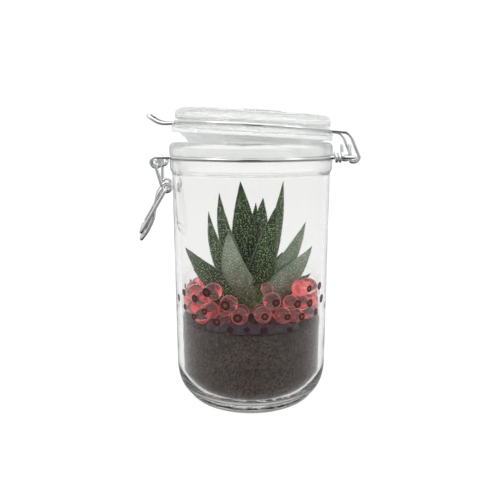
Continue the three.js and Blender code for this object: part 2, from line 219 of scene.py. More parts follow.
acrylic, tree = new_material("backlit_opal_acrylic")
grain = add(tree, "TexNoise", {"Scale": TABLE_GRAINS, "Detail": 3.0})
rise = add(tree, "Bump", {"Height": grain.outputs["Fac"], "Strength": 0.05, "Distance": 0.0001})
surface = add(tree, "BsdfPrincipled", {
    "Base Color": linear("606060"), "Roughness": 0.85, "Normal": rise.outputs[0],
    "Emission Color": linear("ffffff"), "Emission Strength": TABLE_GLOW,
})
add(tree, "OutputMaterial", {"Surface": surface.outputs[0]})

corners = [(x * TABLE_HALF, y * TABLE_HALF, 0) for x, y in ((-1, -1), (1, -1), (1, 1), (-1, 1))]
table = stage_piece("table", corners, [(0, 1, 2, 3)], acrylic)
table.visible_glossy = False

tent_cloth, tree = new_material("tent_cloth")
share = add(tree, "SeparateXYZ", {0: add(tree, "TexCoord").outputs["Generated"]})
tones = add(tree, "ValToRGB", {0: share.outputs["Z"]},
            stops=[(position, linear(code)) for position, code in TENT_TONES])
dark = 1.0
for axis, edge, way in FIGURE_EDGES:
    inside = add(tree, "MapRange", {0: share.outputs[axis], 1: FIGURE[edge],
                                    2: FIGURE[edge] + way * FIGURE["soft"], 3: 0.0, 4: 1.0})
    dark = add(tree, "Math", {0: inside.outputs[0], 1: dark}, operation="MULTIPLY").outputs[0]
figure = add(tree, "Mix", {0: dark, 6: tones.outputs[0], 7: linear("2e2e30")}, data_type="RGBA")
glow = add(tree, "Emission", {"Color": figure.outputs[2]})
add(tree, "OutputMaterial", {"Surface": glow.outputs[0]})

points, faces = [(0, 0, TENT_LOW), (0, 0, TENT_HIGH)], []
for i in range(TENT_SIDES):
    t = 2 * math.pi * i / TENT_SIDES
    points += [(TENT_R * math.cos(t), TENT_R * math.sin(t), z) for z in (TENT_LOW, TENT_HIGH)]
    a, b = 2 + 2 * i, 2 + 2 * ((i + 1) % TENT_SIDES)
    faces += [(a, b, b + 1, a + 1), (0, b, a), (1, a + 1, b + 1)]
tent = stage_piece("tent", points, faces, tent_cloth)
tent_cloth.cycles.emission_sampling = "NONE"
for kind in ("camera", "diffuse", "transmission", "volume_scatter", "shadow"):
    setattr(tent, "visible_" + kind, False)

# %% Lamps

LAMPS = {
    "softbox_left": {"at": (-700, -500, 750), "size": 500, "watts": 1.6},
    "softbox_right": {"at": (750, -350, 650), "size": 450, "watts": 1.0},
    "softbox_back": {"at": (100, 800, 700), "size": 500, "watts": 1.0},
    "softbox_top": {"at": (0, 0, 1100), "size": 700, "watts": 1.6},
}
for name, lamp in LAMPS.items():
    data = bpy.data.lights.new(name, "AREA")
    data.size = lamp["size"] * MM
    data.energy = lamp["watts"]
    box_light = bpy.data.objects.new(name, data)
    box_light.location = Vector(lamp["at"]) * MM
    aim = Vector((0, 0, 90 * MM)) - box_light.location
    box_light.rotation_euler = aim.to_track_quat("-Z", "Y").to_euler()
    scene.collection.objects.link(box_light)
print("lamps", len(LAMPS))

# %% [markdown]
# ## Turned shapes
#
# Glass is pressed in a round mould, so jar, lid and seal are all turned about one axis. A screw
# modifier would spin an outline too. Writing the rings out by hand takes ten lines, gives full
# control of the seam and of the axis, and the outline can be rounded corner by corner first.

# %% Outlines

def rounded(corners, steps=5):
    """An outline of (r, z, radius) corners, with each corner rounded off."""
    points = []
    for i, (r, z, radius) in enumerate(corners):
        at = Vector((r, z))
        if i in (0, len(corners) - 1) or radius == 0:
            points.append(at)
            continue
        back = Vector(corners[i - 1][:2]) - at
        ahead = Vector(corners[i + 1][:2]) - at
        reach = min(radius, back.length * 0.48, ahead.length * 0.48)
        start = at + back.normalized() * reach
        end = at + ahead.normalized() * reach
        for k in range(steps + 1):
            t = k / steps
            points.append(start * (1 - t) ** 2 + at * 2 * t * (1 - t) + end * t ** 2)
    return points


def arc(r, z, rr, rz, a, b, steps):
    """Corners along part of an ellipse, from angle a to b in degrees."""
    turns = [math.radians(a + (b - a) * i / steps) for i in range(steps + 1)]
    return [(r + rr * math.cos(t), z + rz * math.sin(t), 0) for t in turns]


def turned(outline, sides):
    """Points and faces of a closed turned shape. The outline runs from axis to axis."""
    points, faces, rings = [], [], []
    for p in outline:
        if p[0] < 1e-6:
            rings.append([len(points)] * sides)
            points.append(Vector((0, 0, p[1])))
            continue
        rings.append(list(range(len(points), len(points) + sides)))
        for i in range(sides):
            t = 2 * math.pi * i / sides
            points.append(Vector((p[0] * math.cos(t), p[0] * math.sin(t), p[1])))
    for low, high in zip(rings, rings[1:]):
        for i in range(sides):
            j = (i + 1) % sides
            face = list(dict.fromkeys((low[i], low[j], high[j], high[i])))
            if len(face) > 2:
                faces.append(face)
    return points, faces


# %% [markdown]
# ## Clear glass
#
# Soda-lime glass, pressed while soft and fire-polished: it is clear and smooth, with an IOR of
# 1.52, and only very slightly uneven, so that straight lines seen through it waver. The straight
# wall is blown clear. The collar, the heel and the lid touched the mould longest and are handled
# most, so they are a little frosted, in streaks round the jar. Frost is a share of light that
# scatters, and a rougher surface for the rest. It softens what thick glass bends together there.
#
# Glass in a white studio is drawn by its greys. Each face that light crosses keeps a little of
# it, and here that share goes by height, so the glass is greyer towards the bottom: the heel is
# greyer than the collar. The heel carries dark grey specks, and a broken ring of near-black spots
# just above the foot is painted shade, where the light from under the jar is cut off. The Specular
# Tint weakens only the mirror image seen head-on, as a polariser on the lens would, and leaves
# the bright image at grazing angles. Plain Fresnel gloss would veil the plant.
#
# Lamps can't reach through refracting glass in reasonable time, so a shadow ray sees plain
# transparency instead. That is the usual way to let a jar light its own contents.

# %% Glass

GLASS_IOR = 1.52
HEAD_ON = "6c6c6c"      # how much of the usual mirror image is left head-on
LAMP_TINT = "f4f6f6"    # what is left of a lamp's light behind one face
WAVER = 22.0            # mm from one slow wave in pressed glass to the next
JAR_WAVE, LID_WAVE = 0.10, 0.06         # mm, how high the waves are
STREAK, STREAK_RUN = 1.1, 45.0          # mm across and along a frosty streak
STREAKY = (0.92, 1.08)                  # how much less or more frost a streak has
SPECK, SPECK_R = 9.0, 0.028             # mm between specks of dust, and their share of that
HEEL_SPECK = 1.4                             # mm from one dark speck on the heel to the next
SHADE_SPOT, SHADE_SPOT_RUN = 1.6, 3.4             # mm from one painted shade spot to the next, up and round
DUST_GREY, HEEL_SPECK_GREY, SHADE_SPOT_GREY = "8a8a88", "484847", "080808"

# By height in mm: the share of frost, of dark specks and of painted shade spots, and what light
# keeps at a face. At exactly 0, where the foot touches the table, the glass is black: a painted
# contact shadow, as no light gets in.
RAMP_TOP = 200.0
JAR_FROST = [(0, 0), (0, 0.16), (6, 0.12), (9, 0.04), (14, 0.004), (145, 0.004), (149, 0.16),
             (166, 0.2)]
LID_FROST = [(0, 0.3), (RAMP_TOP, 0.3)]
HEEL_SPECKED = [(0, 0), (2, 0.2), (5, 0.8), (7, 0.7), (9, 0.1), (12, 0)]
SHADED_BAND = [(0, 0), (3.2, 0), (3.8, 1), (6.2, 1), (7, 0)]
JAR_TONES = [(0, "000000"), (0, "e8e8e6"), (6, "e8e8e6"), (9, "f4f4f3"), (145, "f3f3f2"),
             (150, "f8f8f7")]
LID_TONES = [(0, "fafaf9"), (RAMP_TOP, "fafaf9")]


def lets_lamps_through(tree, surface, colour):
    """The shader of surface, except that rays which look for lamps pass it, tinted."""
    path = add(tree, "LightPath")
    clear = add(tree, "BsdfTransparent", {"Color": colour})
    return add(tree, "MixShader", {
        0: path.outputs["Is Shadow Ray"], 1: surface.outputs[0], 2: clear.outputs[0],
    }).outputs[0]


def height_stops(rows):
    """Stops of a colour ramp, from rows of a height in mm and either a hex or a share."""
    return [(z / RAMP_TOP, linear(tone) if isinstance(tone, str) else (tone, tone, tone, 1))
            for z, tone in rows]


def pressed_glass(name, frost, tones, wave):
    """Pressed glass. frost and tones have rows by height, wave is its waves' height in mm."""
    material, tree = new_material(name)
    place = add(tree, "TexCoord").outputs["Object"]
    height = add(tree, "SeparateXYZ", {0: place}).outputs["Z"]
    level = add(tree, "Math", {0: height, 1: 1000 / RAMP_TOP}, operation="MULTIPLY").outputs[0]
    frosting, tint, heel_speckable, shaded_band = [
        add(tree, "ValToRGB", {0: level}, stops=height_stops(rows)).outputs[0]
        for rows in (frost, tones, HEEL_SPECKED, SHADED_BAND)]

    lay = add(tree, "Mapping", {
        "Vector": place, "Scale": (1000 / STREAK_RUN, 1000 / STREAK_RUN, 1000 / STREAK),
    })
    streaks = add(tree, "TexNoise", {"Vector": lay.outputs[0], "Scale": 1.0, "Detail": 2.0})
    strength = add(tree, "MapRange", {0: streaks.outputs["Fac"], 1: 0.35, 2: 0.65,
                                      3: STREAKY[0], 4: STREAKY[1]})
    mist = add(tree, "Math", {0: frosting, 1: strength.outputs[0]}, operation="MULTIPLY")
    clear = add(tree, "Math", {0: 1.0, 1: mist.outputs[0]}, operation="SUBTRACT")
    rough = add(tree, "Math", {0: mist.outputs[0], 1: 0.9}, operation="MULTIPLY")

    cells = add(tree, "TexVoronoi", {"Vector": place, "Scale": 1000 / SPECK})
    speck = add(tree, "MapRange", {0: cells.outputs["Distance"], 1: SPECK_R * 0.5, 2: SPECK_R,
                                   3: 1.0, 4: 0.0})
    # Dark grey specks over the heel, thickest from 5 to 7 mm up.
    grit = add(tree, "TexNoise", {"Vector": place, "Scale": 1000 / HEEL_SPECK, "Detail": 3.0})
    heel_speck = add(tree, "MapRange", {0: grit.outputs["Fac"], 1: 0.44, 2: 0.56, 3: 0.0, 4: 1.0})
    specked = add(tree, "Math", {0: heel_speckable, 1: heel_speck.outputs[0]}, operation="MULTIPLY")
    # Near-black spots in a band just above the foot: painted shade, where light from under the jar
    # is cut off.
    lie = add(tree, "Mapping", {
        "Vector": place, "Scale": (1000 / SHADE_SPOT_RUN, 1000 / SHADE_SPOT_RUN, 1000 / SHADE_SPOT),
    })
    spots = add(tree, "TexNoise", {"Vector": lie.outputs[0], "Scale": 1.0, "Detail": 2.0})
    spot = add(tree, "MapRange", {0: spots.outputs["Fac"], 1: 0.43, 2: 0.46, 3: 0.0, 4: 1.0})
    shade_spots = add(tree, "Math", {0: shaded_band, 1: spot.outputs[0]}, operation="MULTIPLY")
    for coat, grey in ((speck, DUST_GREY), (specked, HEEL_SPECK_GREY), (shade_spots, SHADE_SPOT_GREY)):
        tint = add(tree, "Mix", {0: coat.outputs[0], 6: tint, 7: linear(grey)},
                   data_type="RGBA").outputs[2]

    waves = add(tree, "TexNoise", {"Vector": place, "Scale": 1000 / WAVER, "Detail": 2.0})
    bump = add(tree, "Bump", {
        "Height": waves.outputs["Fac"], "Strength": 1.0, "Distance": wave * MM,
    })
    glass = add(tree, "BsdfPrincipled", {
        "Base Color": tint, "Roughness": rough.outputs[0], "IOR": GLASS_IOR,
        "Transmission Weight": clear.outputs[0], "Normal": bump.outputs[0],
        "Specular Tint": linear(HEAD_ON),
    })
    passing = lets_lamps_through(tree, glass, linear(LAMP_TINT))
    add(tree, "OutputMaterial", {"Surface": passing})
    return material


jar_glass = pressed_glass("pressed_soda_lime_glass", JAR_FROST, JAR_TONES, JAR_WAVE)
lid_glass = pressed_glass("pressed_soda_lime_glass_lid", LID_FROST, LID_TONES, LID_WAVE)
print("glass", jar_glass.name, "and", lid_glass.name)

# %% [markdown]
# ## Jar
#
# One closed body of glass: thick domed bottom, rounded heel, straight wall, and a heavy collar
# with a groove for the wire. Glass must be modelled with both faces and its true thickness,
# because it is the inner face that mirrors light inside the wall and draws the bright band down
# each side. The ring that the jar stands on is knurled, to keep the hot glass off the belt.

# %% Jar

JAR_R, BORE_R = 50, 46.4
FLOOR_Z, HEEL_Z, HEEL_R = 7.2, 20, 8
COLLAR_R, COLLAR_Z, MOUTH_Z = 51.4, 147.2, 165
GAP = 0.3
WIRE_R = 1.05
NECK_Z, NECK_R = 156.2, 50.4
JAR_SIDES, LID_SIDES = 384, 192
KNURLS, KNURL_HIGH, KNURL_LEAN = 120, 0.45, 0.9     # how many, mm, and radians in each mm outwards
FOOT_RING = (36, 43, 1.2)       # mm, the knurled ring's radii and how high it reaches


def jar_outline():
    groove = NECK_R - WIRE_R - GAP
    half = WIRE_R + GAP
    return rounded([
        (0, 2.6, 0), (30, 1.7, 8), (36.5, 0.7, 2), (38, 0, 1), (42.2, 0, 1), (43.3, 1.6, 1.5),
        *arc(JAR_R - HEEL_R, HEEL_Z, HEEL_R, HEEL_Z - 3, -72, 0, 14),
        (JAR_R, COLLAR_Z - 0.6, 1.2), (COLLAR_R, COLLAR_Z + 1.6, 1.4),
        (COLLAR_R, NECK_Z - half, 0.5), (groove, NECK_Z - half + 0.2, 0.8),
        (groove, NECK_Z + half - 0.2, 0.8), (COLLAR_R, NECK_Z + half, 0.5),
        *arc(COLLAR_R - 3, MOUTH_Z - 3, 3, 3, 0, 90, 7),
        (BORE_R + 1.0, MOUTH_Z - 0.1, 0.8), (BORE_R, MOUTH_Z - 2.4, 1.6),
        *arc(BORE_R - HEEL_R, HEEL_Z + 1, HEEL_R, HEEL_Z + 1 - FLOOR_Z, 0, -84, 14),
        (30, FLOOR_Z - 0.2, 4), (0, FLOOR_Z + 0.4, 0),
    ])


def knurled(points):
    """Small ridges pressed across the ring that the jar stands on."""
    near, far, top = FOOT_RING
    for p in points:
        r = math.hypot(p.x, p.y)
        if p.z < top and near < r < far:
            wave = 0.5 + 0.5 * math.sin(KNURLS * math.atan2(p.y, p.x) + KNURL_LEAN * r)
            p.z += KNURL_HIGH * wave
    return points


points, faces = turned(jar_outline(), JAR_SIDES)
jar = make_piece("jar_glass", knurled(points), faces, jar_glass, "jar", ["jar"])
print("jar triangles", triangles(jar))

# %% [markdown]
# ## Lid
#
# A thick pressed disc with a hollow underside. The wire ring sits in a groove between the disc
# and the flange. The lid is drawn closed and then turned by the few degrees that it hangs open.

# %% Lid

LID_SEAT_Z = MOUTH_Z + GAP
SEAL_T = 2.3
FLANGE_R = 50.3
FLANGE_TOP_Z = LID_SEAT_Z + 4.4
LID_WIRE_Z, LID_WIRE_R = LID_SEAT_Z + 6.1, 46.6
DOME_R, DOME_Z = 48.5, LID_SEAT_Z + 8
LID_TOP_Z = LID_SEAT_Z + 14.5
HINGE = Vector((63.3, 0, NECK_Z))
LID_AJAR = math.radians(3.2)


def ajar(points):
    """Turns points of the closed lid about the hinge, to where it hangs."""
    turn = Matrix.Rotation(LID_AJAR, 3, "Y")
    return [turn @ (Vector(p) - HINGE) + HINGE for p in points]


def lid_outline():
    groove = LID_WIRE_R - WIRE_R - GAP
    seal_top = LID_SEAT_Z + SEAL_T + GAP
    return rounded([
        (0, LID_TOP_Z - 5, 0), (26, LID_TOP_Z - 5.6, 4), (33.5, LID_TOP_Z - 8, 3),
        (34, LID_SEAT_Z - 7.2, 0.8), (37.4, LID_SEAT_Z - 7.2, 0.8), (40.6, LID_SEAT_Z - 2.5, 3),
        (43, seal_top, 0.6), (FLANGE_R, seal_top, 0.4), (FLANGE_R, FLANGE_TOP_Z, 1.2),
        (groove, FLANGE_TOP_Z, 1), (groove, DOME_Z, 1), (DOME_R, DOME_Z, 1.8),
        *arc(DOME_R - 4, LID_TOP_Z - 4, 4, 4, 0, 84, 8),
        (36, LID_TOP_Z - 0.2, 3), (30, LID_TOP_Z - 0.5, 3), (0, LID_TOP_Z - 0.6, 0),
    ])


points, faces = turned(lid_outline(), LID_SIDES)
lid = make_piece("lid_glass", ajar(points), faces, lid_glass, "lid", ["lid"])
print("lid triangles", triangles(lid))

# %% [markdown]
# ## Stipple on the lid
#
# A short row of tiny dots runs along the lid's front edge, as moulds leave. A bump can't draw
# them on clear glass, so they are small round solids half sunk in the edge, one ball repeated.

# %% Stipple on the lid

DOTS, DOTS_FROM, DOT_STEP = 13, -96.0, 2.0      # how many, and the turns in degrees
DOT_OUT, DOT_UP, DOT_R = 46.4, -0.4, 0.36       # mm from the axis, above the lid's top, and radius


def ball_shape(levels):
    """Points and faces of a round ball of radius one."""
    ball = bmesh.new()
    bmesh.ops.create_icosphere(ball, subdivisions=levels, radius=1)
    points = [v.co.copy() for v in ball.verts]
    faces = [[v.index for v in f.verts] for f in ball.faces]
    ball.free()
    return points, faces


stipple, tree = new_material("worn_stipple_in_the_mould")
surface = add(tree, "BsdfPrincipled", {"Base Color": linear("5c5e5e"), "Roughness": 0.6})
add(tree, "OutputMaterial", {"Surface": surface.outputs[0]})

dot_points, dot_faces = ball_shape(2)
points, faces = [], []
for i in range(DOTS):
    turn = math.radians(DOTS_FROM + i * DOT_STEP)
    at = Vector((DOT_OUT * math.cos(turn), DOT_OUT * math.sin(turn), LID_TOP_Z + DOT_UP))
    gather(points, faces, [at + p * DOT_R for p in dot_points], dot_faces)
make_piece("lid_stipple", ajar(points), faces, stipple, "lid")
print("dots", DOTS)

# %% [markdown]
# ## Seal
#
# Moulded silicone, milky and soft: light passes but nothing shows through it sharply. The IOR is
# about 1.41, and a moulded matt skin makes it rough. Its skirt narrows into the mouth. The ring
# has no point on the axis, so its outline closes on itself and is turned by a function of its own.

# %% Silicone seal

MATT_GRAIN = 0.8    # mm from one grain of the mould's matt skin to the next

silicone, tree = new_material("moulded_natural_silicone")
skin = add(tree, "TexNoise", {"Scale": 1000 / MATT_GRAIN, "Detail": 2.0})
bump = add(tree, "Bump", {"Height": skin.outputs["Fac"], "Strength": 0.4, "Distance": 0.05 * MM})
surface = add(tree, "BsdfPrincipled", {
    "Base Color": linear("fcfcfc"), "Roughness": 0.5, "IOR": 1.41,
    "Transmission Weight": 0.7, "Normal": bump.outputs[0],
})
add(tree, "OutputMaterial", {"Surface": lets_lamps_through(tree, surface, linear("eceeed"))})


SEAL_SIDES = 128


def closed_ring(outline, sides):
    """Points and faces of a ring whose outline closes on itself."""
    count = len(outline)
    points = []
    for i in range(sides):
        t = 2 * math.pi * i / sides
        points += [Vector((p[0] * math.cos(t), p[0] * math.sin(t), p[1])) for p in outline]
    faces = []
    for i in range(sides):
        for k in range(count):
            a, b = i * count + k, i * count + (k + 1) % count
            c, d = ((i + 1) % sides) * count + (k + 1) % count, ((i + 1) % sides) * count + k
            faces.append((a, b, c, d))
    return points, faces


seat, top = LID_SEAT_Z, LID_SEAT_Z + SEAL_T
corners = [
    (45.5, seat, 0), (FLANGE_R, seat, 0.6), (FLANGE_R, top, 0.6), (43.1, top, 1),
    (41.1, seat - 2.4, 2), (38.1, seat - 7, 0.6), (39.2, seat - 7.6, 0.5),
    (39.9, seat - 5.6, 1), (42.2, seat - 2.8, 1), (44.3, seat - 1.2, 1), (45.5, seat, 0),
]
points, faces = closed_ring(rounded(corners, 3)[:-1], SEAL_SIDES)
seal = make_piece("silicone_seal", ajar(points), faces, silicone, "lid", ["seal_ring"])
print("seal triangles", triangles(seal))

# %% [markdown]
# ## Steel wire
#
# Stainless wire of 2.1 mm, drawn through a die and polished, so it mirrors the room in long
# streaks along its length. Metallic is 1, the grey is steel's own reflectance, and the IOR stays
# at the default. The short dark length in each bend is the figure at the tent's front. Drawing
# leaves lines along the wire, so each tube gets a UV in millimetres,
# along and around, and the noise is stretched along it. Real draw lines are hundredths of a
# millimetre wide; these are ten times coarser, so that they show at all.

# %% Drawn steel

DRAW_LINE = 0.3     # mm round the wire from one draw line to the next
DRAW_RUN = 14.0     # mm that a line runs
DRAWN_ROUGH = (0.10, 0.24)      # the roughness on a line and between two

steel, tree = new_material("drawn_polished_stainless_steel")
lay = add(tree, "Mapping", {
    "Vector": add(tree, "UVMap", uv_map="drawn").outputs[0],
    "Scale": (1 / DRAW_RUN, 1 / DRAW_LINE, 1),
})
lines = add(tree, "TexNoise", {"Vector": lay.outputs[0], "Scale": 1.0, "Detail": 3.0})
tone = add(tree, "Mix", {0: lines.outputs["Fac"], 6: linear("dcdddd"), 7: linear("ececec")},
           data_type="RGBA")
shine = add(tree, "MapRange", {0: lines.outputs["Fac"], 3: DRAWN_ROUGH[0], 4: DRAWN_ROUGH[1]})
bump = add(tree, "Bump", {"Height": lines.outputs["Fac"], "Strength": 0.25, "Distance": 0.03 * MM})
surface = add(tree, "BsdfPrincipled", {
    "Base Color": tone.outputs[2], "Metallic": 1.0, "Roughness": shine.outputs[0],
    "Normal": bump.outputs[0],
})
add(tree, "OutputMaterial", {"Surface": surface.outputs[0]})

# %% Bent wire

WIRE_SIDES = 16
DOMED = (0.7, 0.98)     # how far out an end's two rings lie, as shares of the wire's radius


def bent(corners, r, steps=8):
    """Points along a wire through its corners, each bent to about the radius r."""
    at = [Vector(c) for c in corners]
    path = [at[0]]
    for back, here, ahead in zip(at, at[1:], at[2:]):
        reach = min(r, (back - here).length * 0.45, (ahead - here).length * 0.45)
        start = here + (back - here).normalized() * reach
        end = here + (ahead - here).normalized() * reach
        for k in range(steps + 1):
            t = k / steps
            path.append(start * (1 - t) ** 2 + here * 2 * t * (1 - t) + end * t ** 2)
    return path + [at[-1]]


def circle(centre, r, u, v, start=0, end=360, steps=40):
    """Points on a circle about centre, in the plane of u and v, from start to end in degrees."""
    turns = [math.radians(start + (end - start) * i / steps) for i in range(steps + 1)]
    u, v = Vector(u), Vector(v)
    return [Vector(centre) + r * (math.cos(t) * u + math.sin(t) * v) for t in turns]


class Wires:
    """Tubes gathered into one mesh, with their UVs in millimetres."""

    def __init__(self):
        self.points, self.faces, self.uvs = [], [], []

    def tube(self, path, closes=False, r=WIRE_R):
        """Sweeps a round section along path, and domes the ends."""
        count = len(path)
        rows, length = [], 0
        side = None
        for i, p in enumerate(path):
            if closes:
                tangent = path[(i + 1) % count] - path[i - 1]
            else:
                tangent = path[min(i + 1, count - 1)] - path[max(i - 1, 0)]
            tangent.normalize()
            if side is None:
                side = tangent.cross(Vector((0.31, 0.17, 0.93))).normalized()
            side = (side - tangent * side.dot(tangent)).normalized()
            up = tangent.cross(side)
            length += (p - path[i - 1]).length if i else 0
            rows.append((p, tangent.copy(), side.copy(), up, length, r))
        if not closes:
            first, last = rows[0], rows[-1]
            for share in DOMED:
                narrow = r * math.sqrt(1 - share ** 2)
                rows.insert(0, (first[0] - first[1] * r * share, *first[1:5], narrow))
                rows.append((last[0] + last[1] * r * share, *last[1:5], narrow))
        base = len(self.points)
        for p, _, side, up, _, radius in rows:
            for k in range(WIRE_SIDES):
                t = 2 * math.pi * k / WIRE_SIDES
                self.points.append(p + radius * (math.cos(t) * side + math.sin(t) * up))
        around = 2 * math.pi * r / WIRE_SIDES
        spans = len(rows) if closes else len(rows) - 1
        for i in range(spans):
            j = (i + 1) % len(rows)
            far = rows[j][4] if j else length + (path[0] - path[-1]).length
            for k in range(WIRE_SIDES):
                n = (k + 1) % WIRE_SIDES
                self.faces.append((base + i * WIRE_SIDES + k, base + i * WIRE_SIDES + n,
                                   base + j * WIRE_SIDES + n, base + j * WIRE_SIDES + k))
                self.uvs += [(rows[i][4], k * around), (rows[i][4], (k + 1) * around),
                             (far, (k + 1) * around), (far, k * around)]
        if not closes:
            ends = (range(base, base + WIRE_SIDES),
                    range(len(self.points) - WIRE_SIDES, len(self.points)))
            for end, flip in zip(ends, (True, False)):
                self.faces.append(tuple(end)[::-1] if flip else tuple(end))
                self.uvs += [(0, 0)] * WIRE_SIDES

    def piece(self, name, body, nodes, place=list):
        made = make_piece(name, place(self.points), self.faces, steel, body, nodes)
        layer = made.data.uv_layers.new(name="drawn")
        layer.data.foreach_set("uv", [c for uv in self.uvs for c in uv])
        print(name, "triangles", triangles(made))
        return made


def mirrored(path):
    """The same path on the other side of the middle plane."""
    return [Vector((p[0], -p[1], p[2])) for p in path]


# %% [markdown]
# ## Neck wire and hinge
#
# One wire runs round the collar's groove. In front, at -X, each end turns into an eye for the
# latch. Behind, it is wrapped in two tight turns round the arms of the hinge frame, whose
# crossbar carries the lid. A coil is a helix, so its pitch is one wire's diameter a turn.

# %% Neck wire

EYE_Y, LEVER_Y, LATCH_Y, LEG_Y, ARM_Y = 13, 15.5, 18, 14, 17
EYE_R = 3.0
EYE_TURNS, EYE_DRIFT = 1.7, 1.1         # turns of wire in an eye, and mm sideways over them
EYE_X = -58.4
PIVOT = Vector((-59, 0, NECK_Z - 2.7))
WRAP_R, WRAP_TURNS, WRAP_X = 2.15, 2.2, 50.8


def helix(centre, r, u, v, along, turns, steps=30):
    """Points on a helix about centre, which starts at u and moves by the vector along."""
    points = []
    for i in range(int(turns * steps) + 1):
        t = 2 * math.pi * i / steps
        ring = r * (math.cos(t) * Vector(u) + math.sin(t) * Vector(v))
        points.append(Vector(centre) + ring + Vector(along) * i / (turns * steps))
    return points


neck = Wires()
neck.tube(circle((0, 0, NECK_Z), NECK_R, (1, 0, 0), (0, 1, 0), steps=160)[:-1], closes=True)
for side in (-1, 1):
    start = math.sqrt(NECK_R ** 2 - EYE_Y ** 2)
    outer = side * (EYE_Y + EYE_DRIFT / 2)
    run = [Vector((-start + 0.6, outer, NECK_Z)), Vector((-54, outer, NECK_Z))]
    neck.tube(run + helix((EYE_X, outer, NECK_Z - EYE_R), EYE_R, (0, 0, 1), (-1, 0, 0),
                          (0, -side * EYE_DRIFT, 0), EYE_TURNS))
    back = math.sqrt(NECK_R ** 2 - ARM_Y ** 2)
    neck.tube(helix((WRAP_X, side * ARM_Y, NECK_Z), WRAP_R, (0, 0, 1), (0, side, 0),
                    (2 * WIRE_R * WRAP_TURNS, 0, 0), WRAP_TURNS))
frame_bar = bent([(back - 1.5, -ARM_Y, NECK_Z), (HINGE.x, -ARM_Y, HINGE.z),
                  (HINGE.x, ARM_Y, HINGE.z), (back - 1.5, ARM_Y, NECK_Z)], 2.4)
neck.tube(frame_bar)
neck.piece("neck_wire", "jar", ["neck_band"])

# %% [markdown]
# ## Lid wire
#
# The wire in the lid's groove carries a small pull tab in front and, behind, two legs that hook
# round the crossbar from outside.

# %% Lid wire

TAB_Y = 6
TAB_LEAN = 0.12     # mm that the tab's far side stands higher, for each mm across
RING_OUT = 1.7      # mm that the ring stands out of the solids' groove, as wire under tension does
tab_start = math.sqrt(LID_WIRE_R ** 2 - TAB_Y ** 2)
leg_start = math.sqrt(LID_WIRE_R ** 2 - LEG_Y ** 2)
x, z = HINGE.x, HINGE.z

lid_wire = Wires()
ring = circle((0, 0, LID_WIRE_Z), LID_WIRE_R + RING_OUT, (1, 0, 0), (0, 1, 0), steps=160)[:-1]
lid_wire.tube(ring, closes=True)
half_tab = [(-tab_start + 0.6, TAB_Y, LID_WIRE_Z), (-57.5, TAB_Y, LID_WIRE_Z - 1),
            (-65.3, TAB_Y, LID_WIRE_Z + 3.4)]
tab = [Vector((x, y, z + TAB_LEAN * y)) for x, y, z in half_tab + mirrored(half_tab)[::-1]]
lid_wire.tube(bent(tab, 4))
leg = [(leg_start - 0.6, LEG_Y, LID_WIRE_Z), (x - 6.2, LEG_Y, LID_WIRE_Z - 0.4),
       (x - 3.2, LEG_Y, z + 12.3), (x + 3.1, LEG_Y, z - 0.1), (x + 1.2, LEG_Y, z - 2.7),
       (x - 2.7, LEG_Y, z - 2.9), (x - 3.7, LEG_Y, z + 7)]
lid_wire.tube(bent(leg, 2.6))
lid_wire.tube(bent(mirrored(leg), 2.6))
lid_wire.piece("lid_wire", "lid", ["lid_band"], ajar)

# %% [markdown]
# ## Lever and latch loop
#
# The lever is one wire: its pins turn in the neck eyes, each leg winds into a coil, and the ends
# join in a curved handle. The latch loop's pins turn in those coils. To clip the jar shut, the
# loop goes over the tab and the lever is pressed down. Wire this loose hangs a little askew, and
# one function leans every point below the pins by the same share of its distance sideways.

# %% Lever and latch

COIL = Vector((-54.4, 0, 138.1))
COIL_R = 2.7
SWING_Z = COIL.z - 0.3      # the loop's pins lie in the bottom of the coils
ASKEW = 0.155               # mm towards the jar for each mm sideways


def askew(points):
    """The points of the lever and the loop, leaning as they hang."""
    leaning = []
    for x, y, z in points:
        share = min((PIVOT.z - z) / (PIVOT.z - COIL.z), 1)
        leaning.append(Vector((x - ASKEW * y * share, y, z)))
    return leaning


lever = Wires()
front = (COIL.x - COIL_R, LEVER_Y, COIL.z)
handle = [front, (-61.2, LEVER_Y, 131), (-62.3, LEVER_Y, 124), (-63.4, LEVER_Y, 118),
          (-67.6, LEVER_Y, 110.2), (-71.6, LEVER_Y, 105.2)]
lever.tube(bent(askew(handle + mirrored(handle)[::-1]), 4))
for side in (-1, 1):
    leg = [(PIVOT.x, LEVER_Y - 5, PIVOT.z), (PIVOT.x, LEVER_Y, PIVOT.z), front]
    lever.tube(bent(askew(leg if side > 0 else mirrored(leg)), 1.8))
    centre = askew([(COIL.x, side * LEVER_Y, COIL.z)])[0]
    lever.tube(circle(centre, COIL_R, (-1, 0, 0), (0, 0, -1), steps=32)[:-1], closes=True)
lever.piece("latch_lever", "lever", ["lever"])

latch = Wires()
half_loop = [(COIL.x, LATCH_Y - 5.6, SWING_Z), (COIL.x, LATCH_Y, SWING_Z), (-71.4, LATCH_Y, 110)]
latch.tube(bent(askew(half_loop + mirrored(half_loop)[::-1]), 3))
latch.piece("latch_loop_wire", "latch", ["latch_loop"])

# %% [markdown]
# ## Leaves
#
# Each leaf is a fleshy blade: channelled on its inner side, keeled on its outer side, widest a
# third of the way up and drawn out to a point, with small pale teeth along both edges. It could
# be sculpted, but a blade swept along one curve keeps all nineteen alike in build and different
# in pose, and it can carry two useful numbers to the shader: how far along the leaf a point
# lies, and how far across.

# %% Leaf shapes

CROWN = Vector((1.3, 0, 0))
LEAF_T = 4.6
WIDEST = 0.35

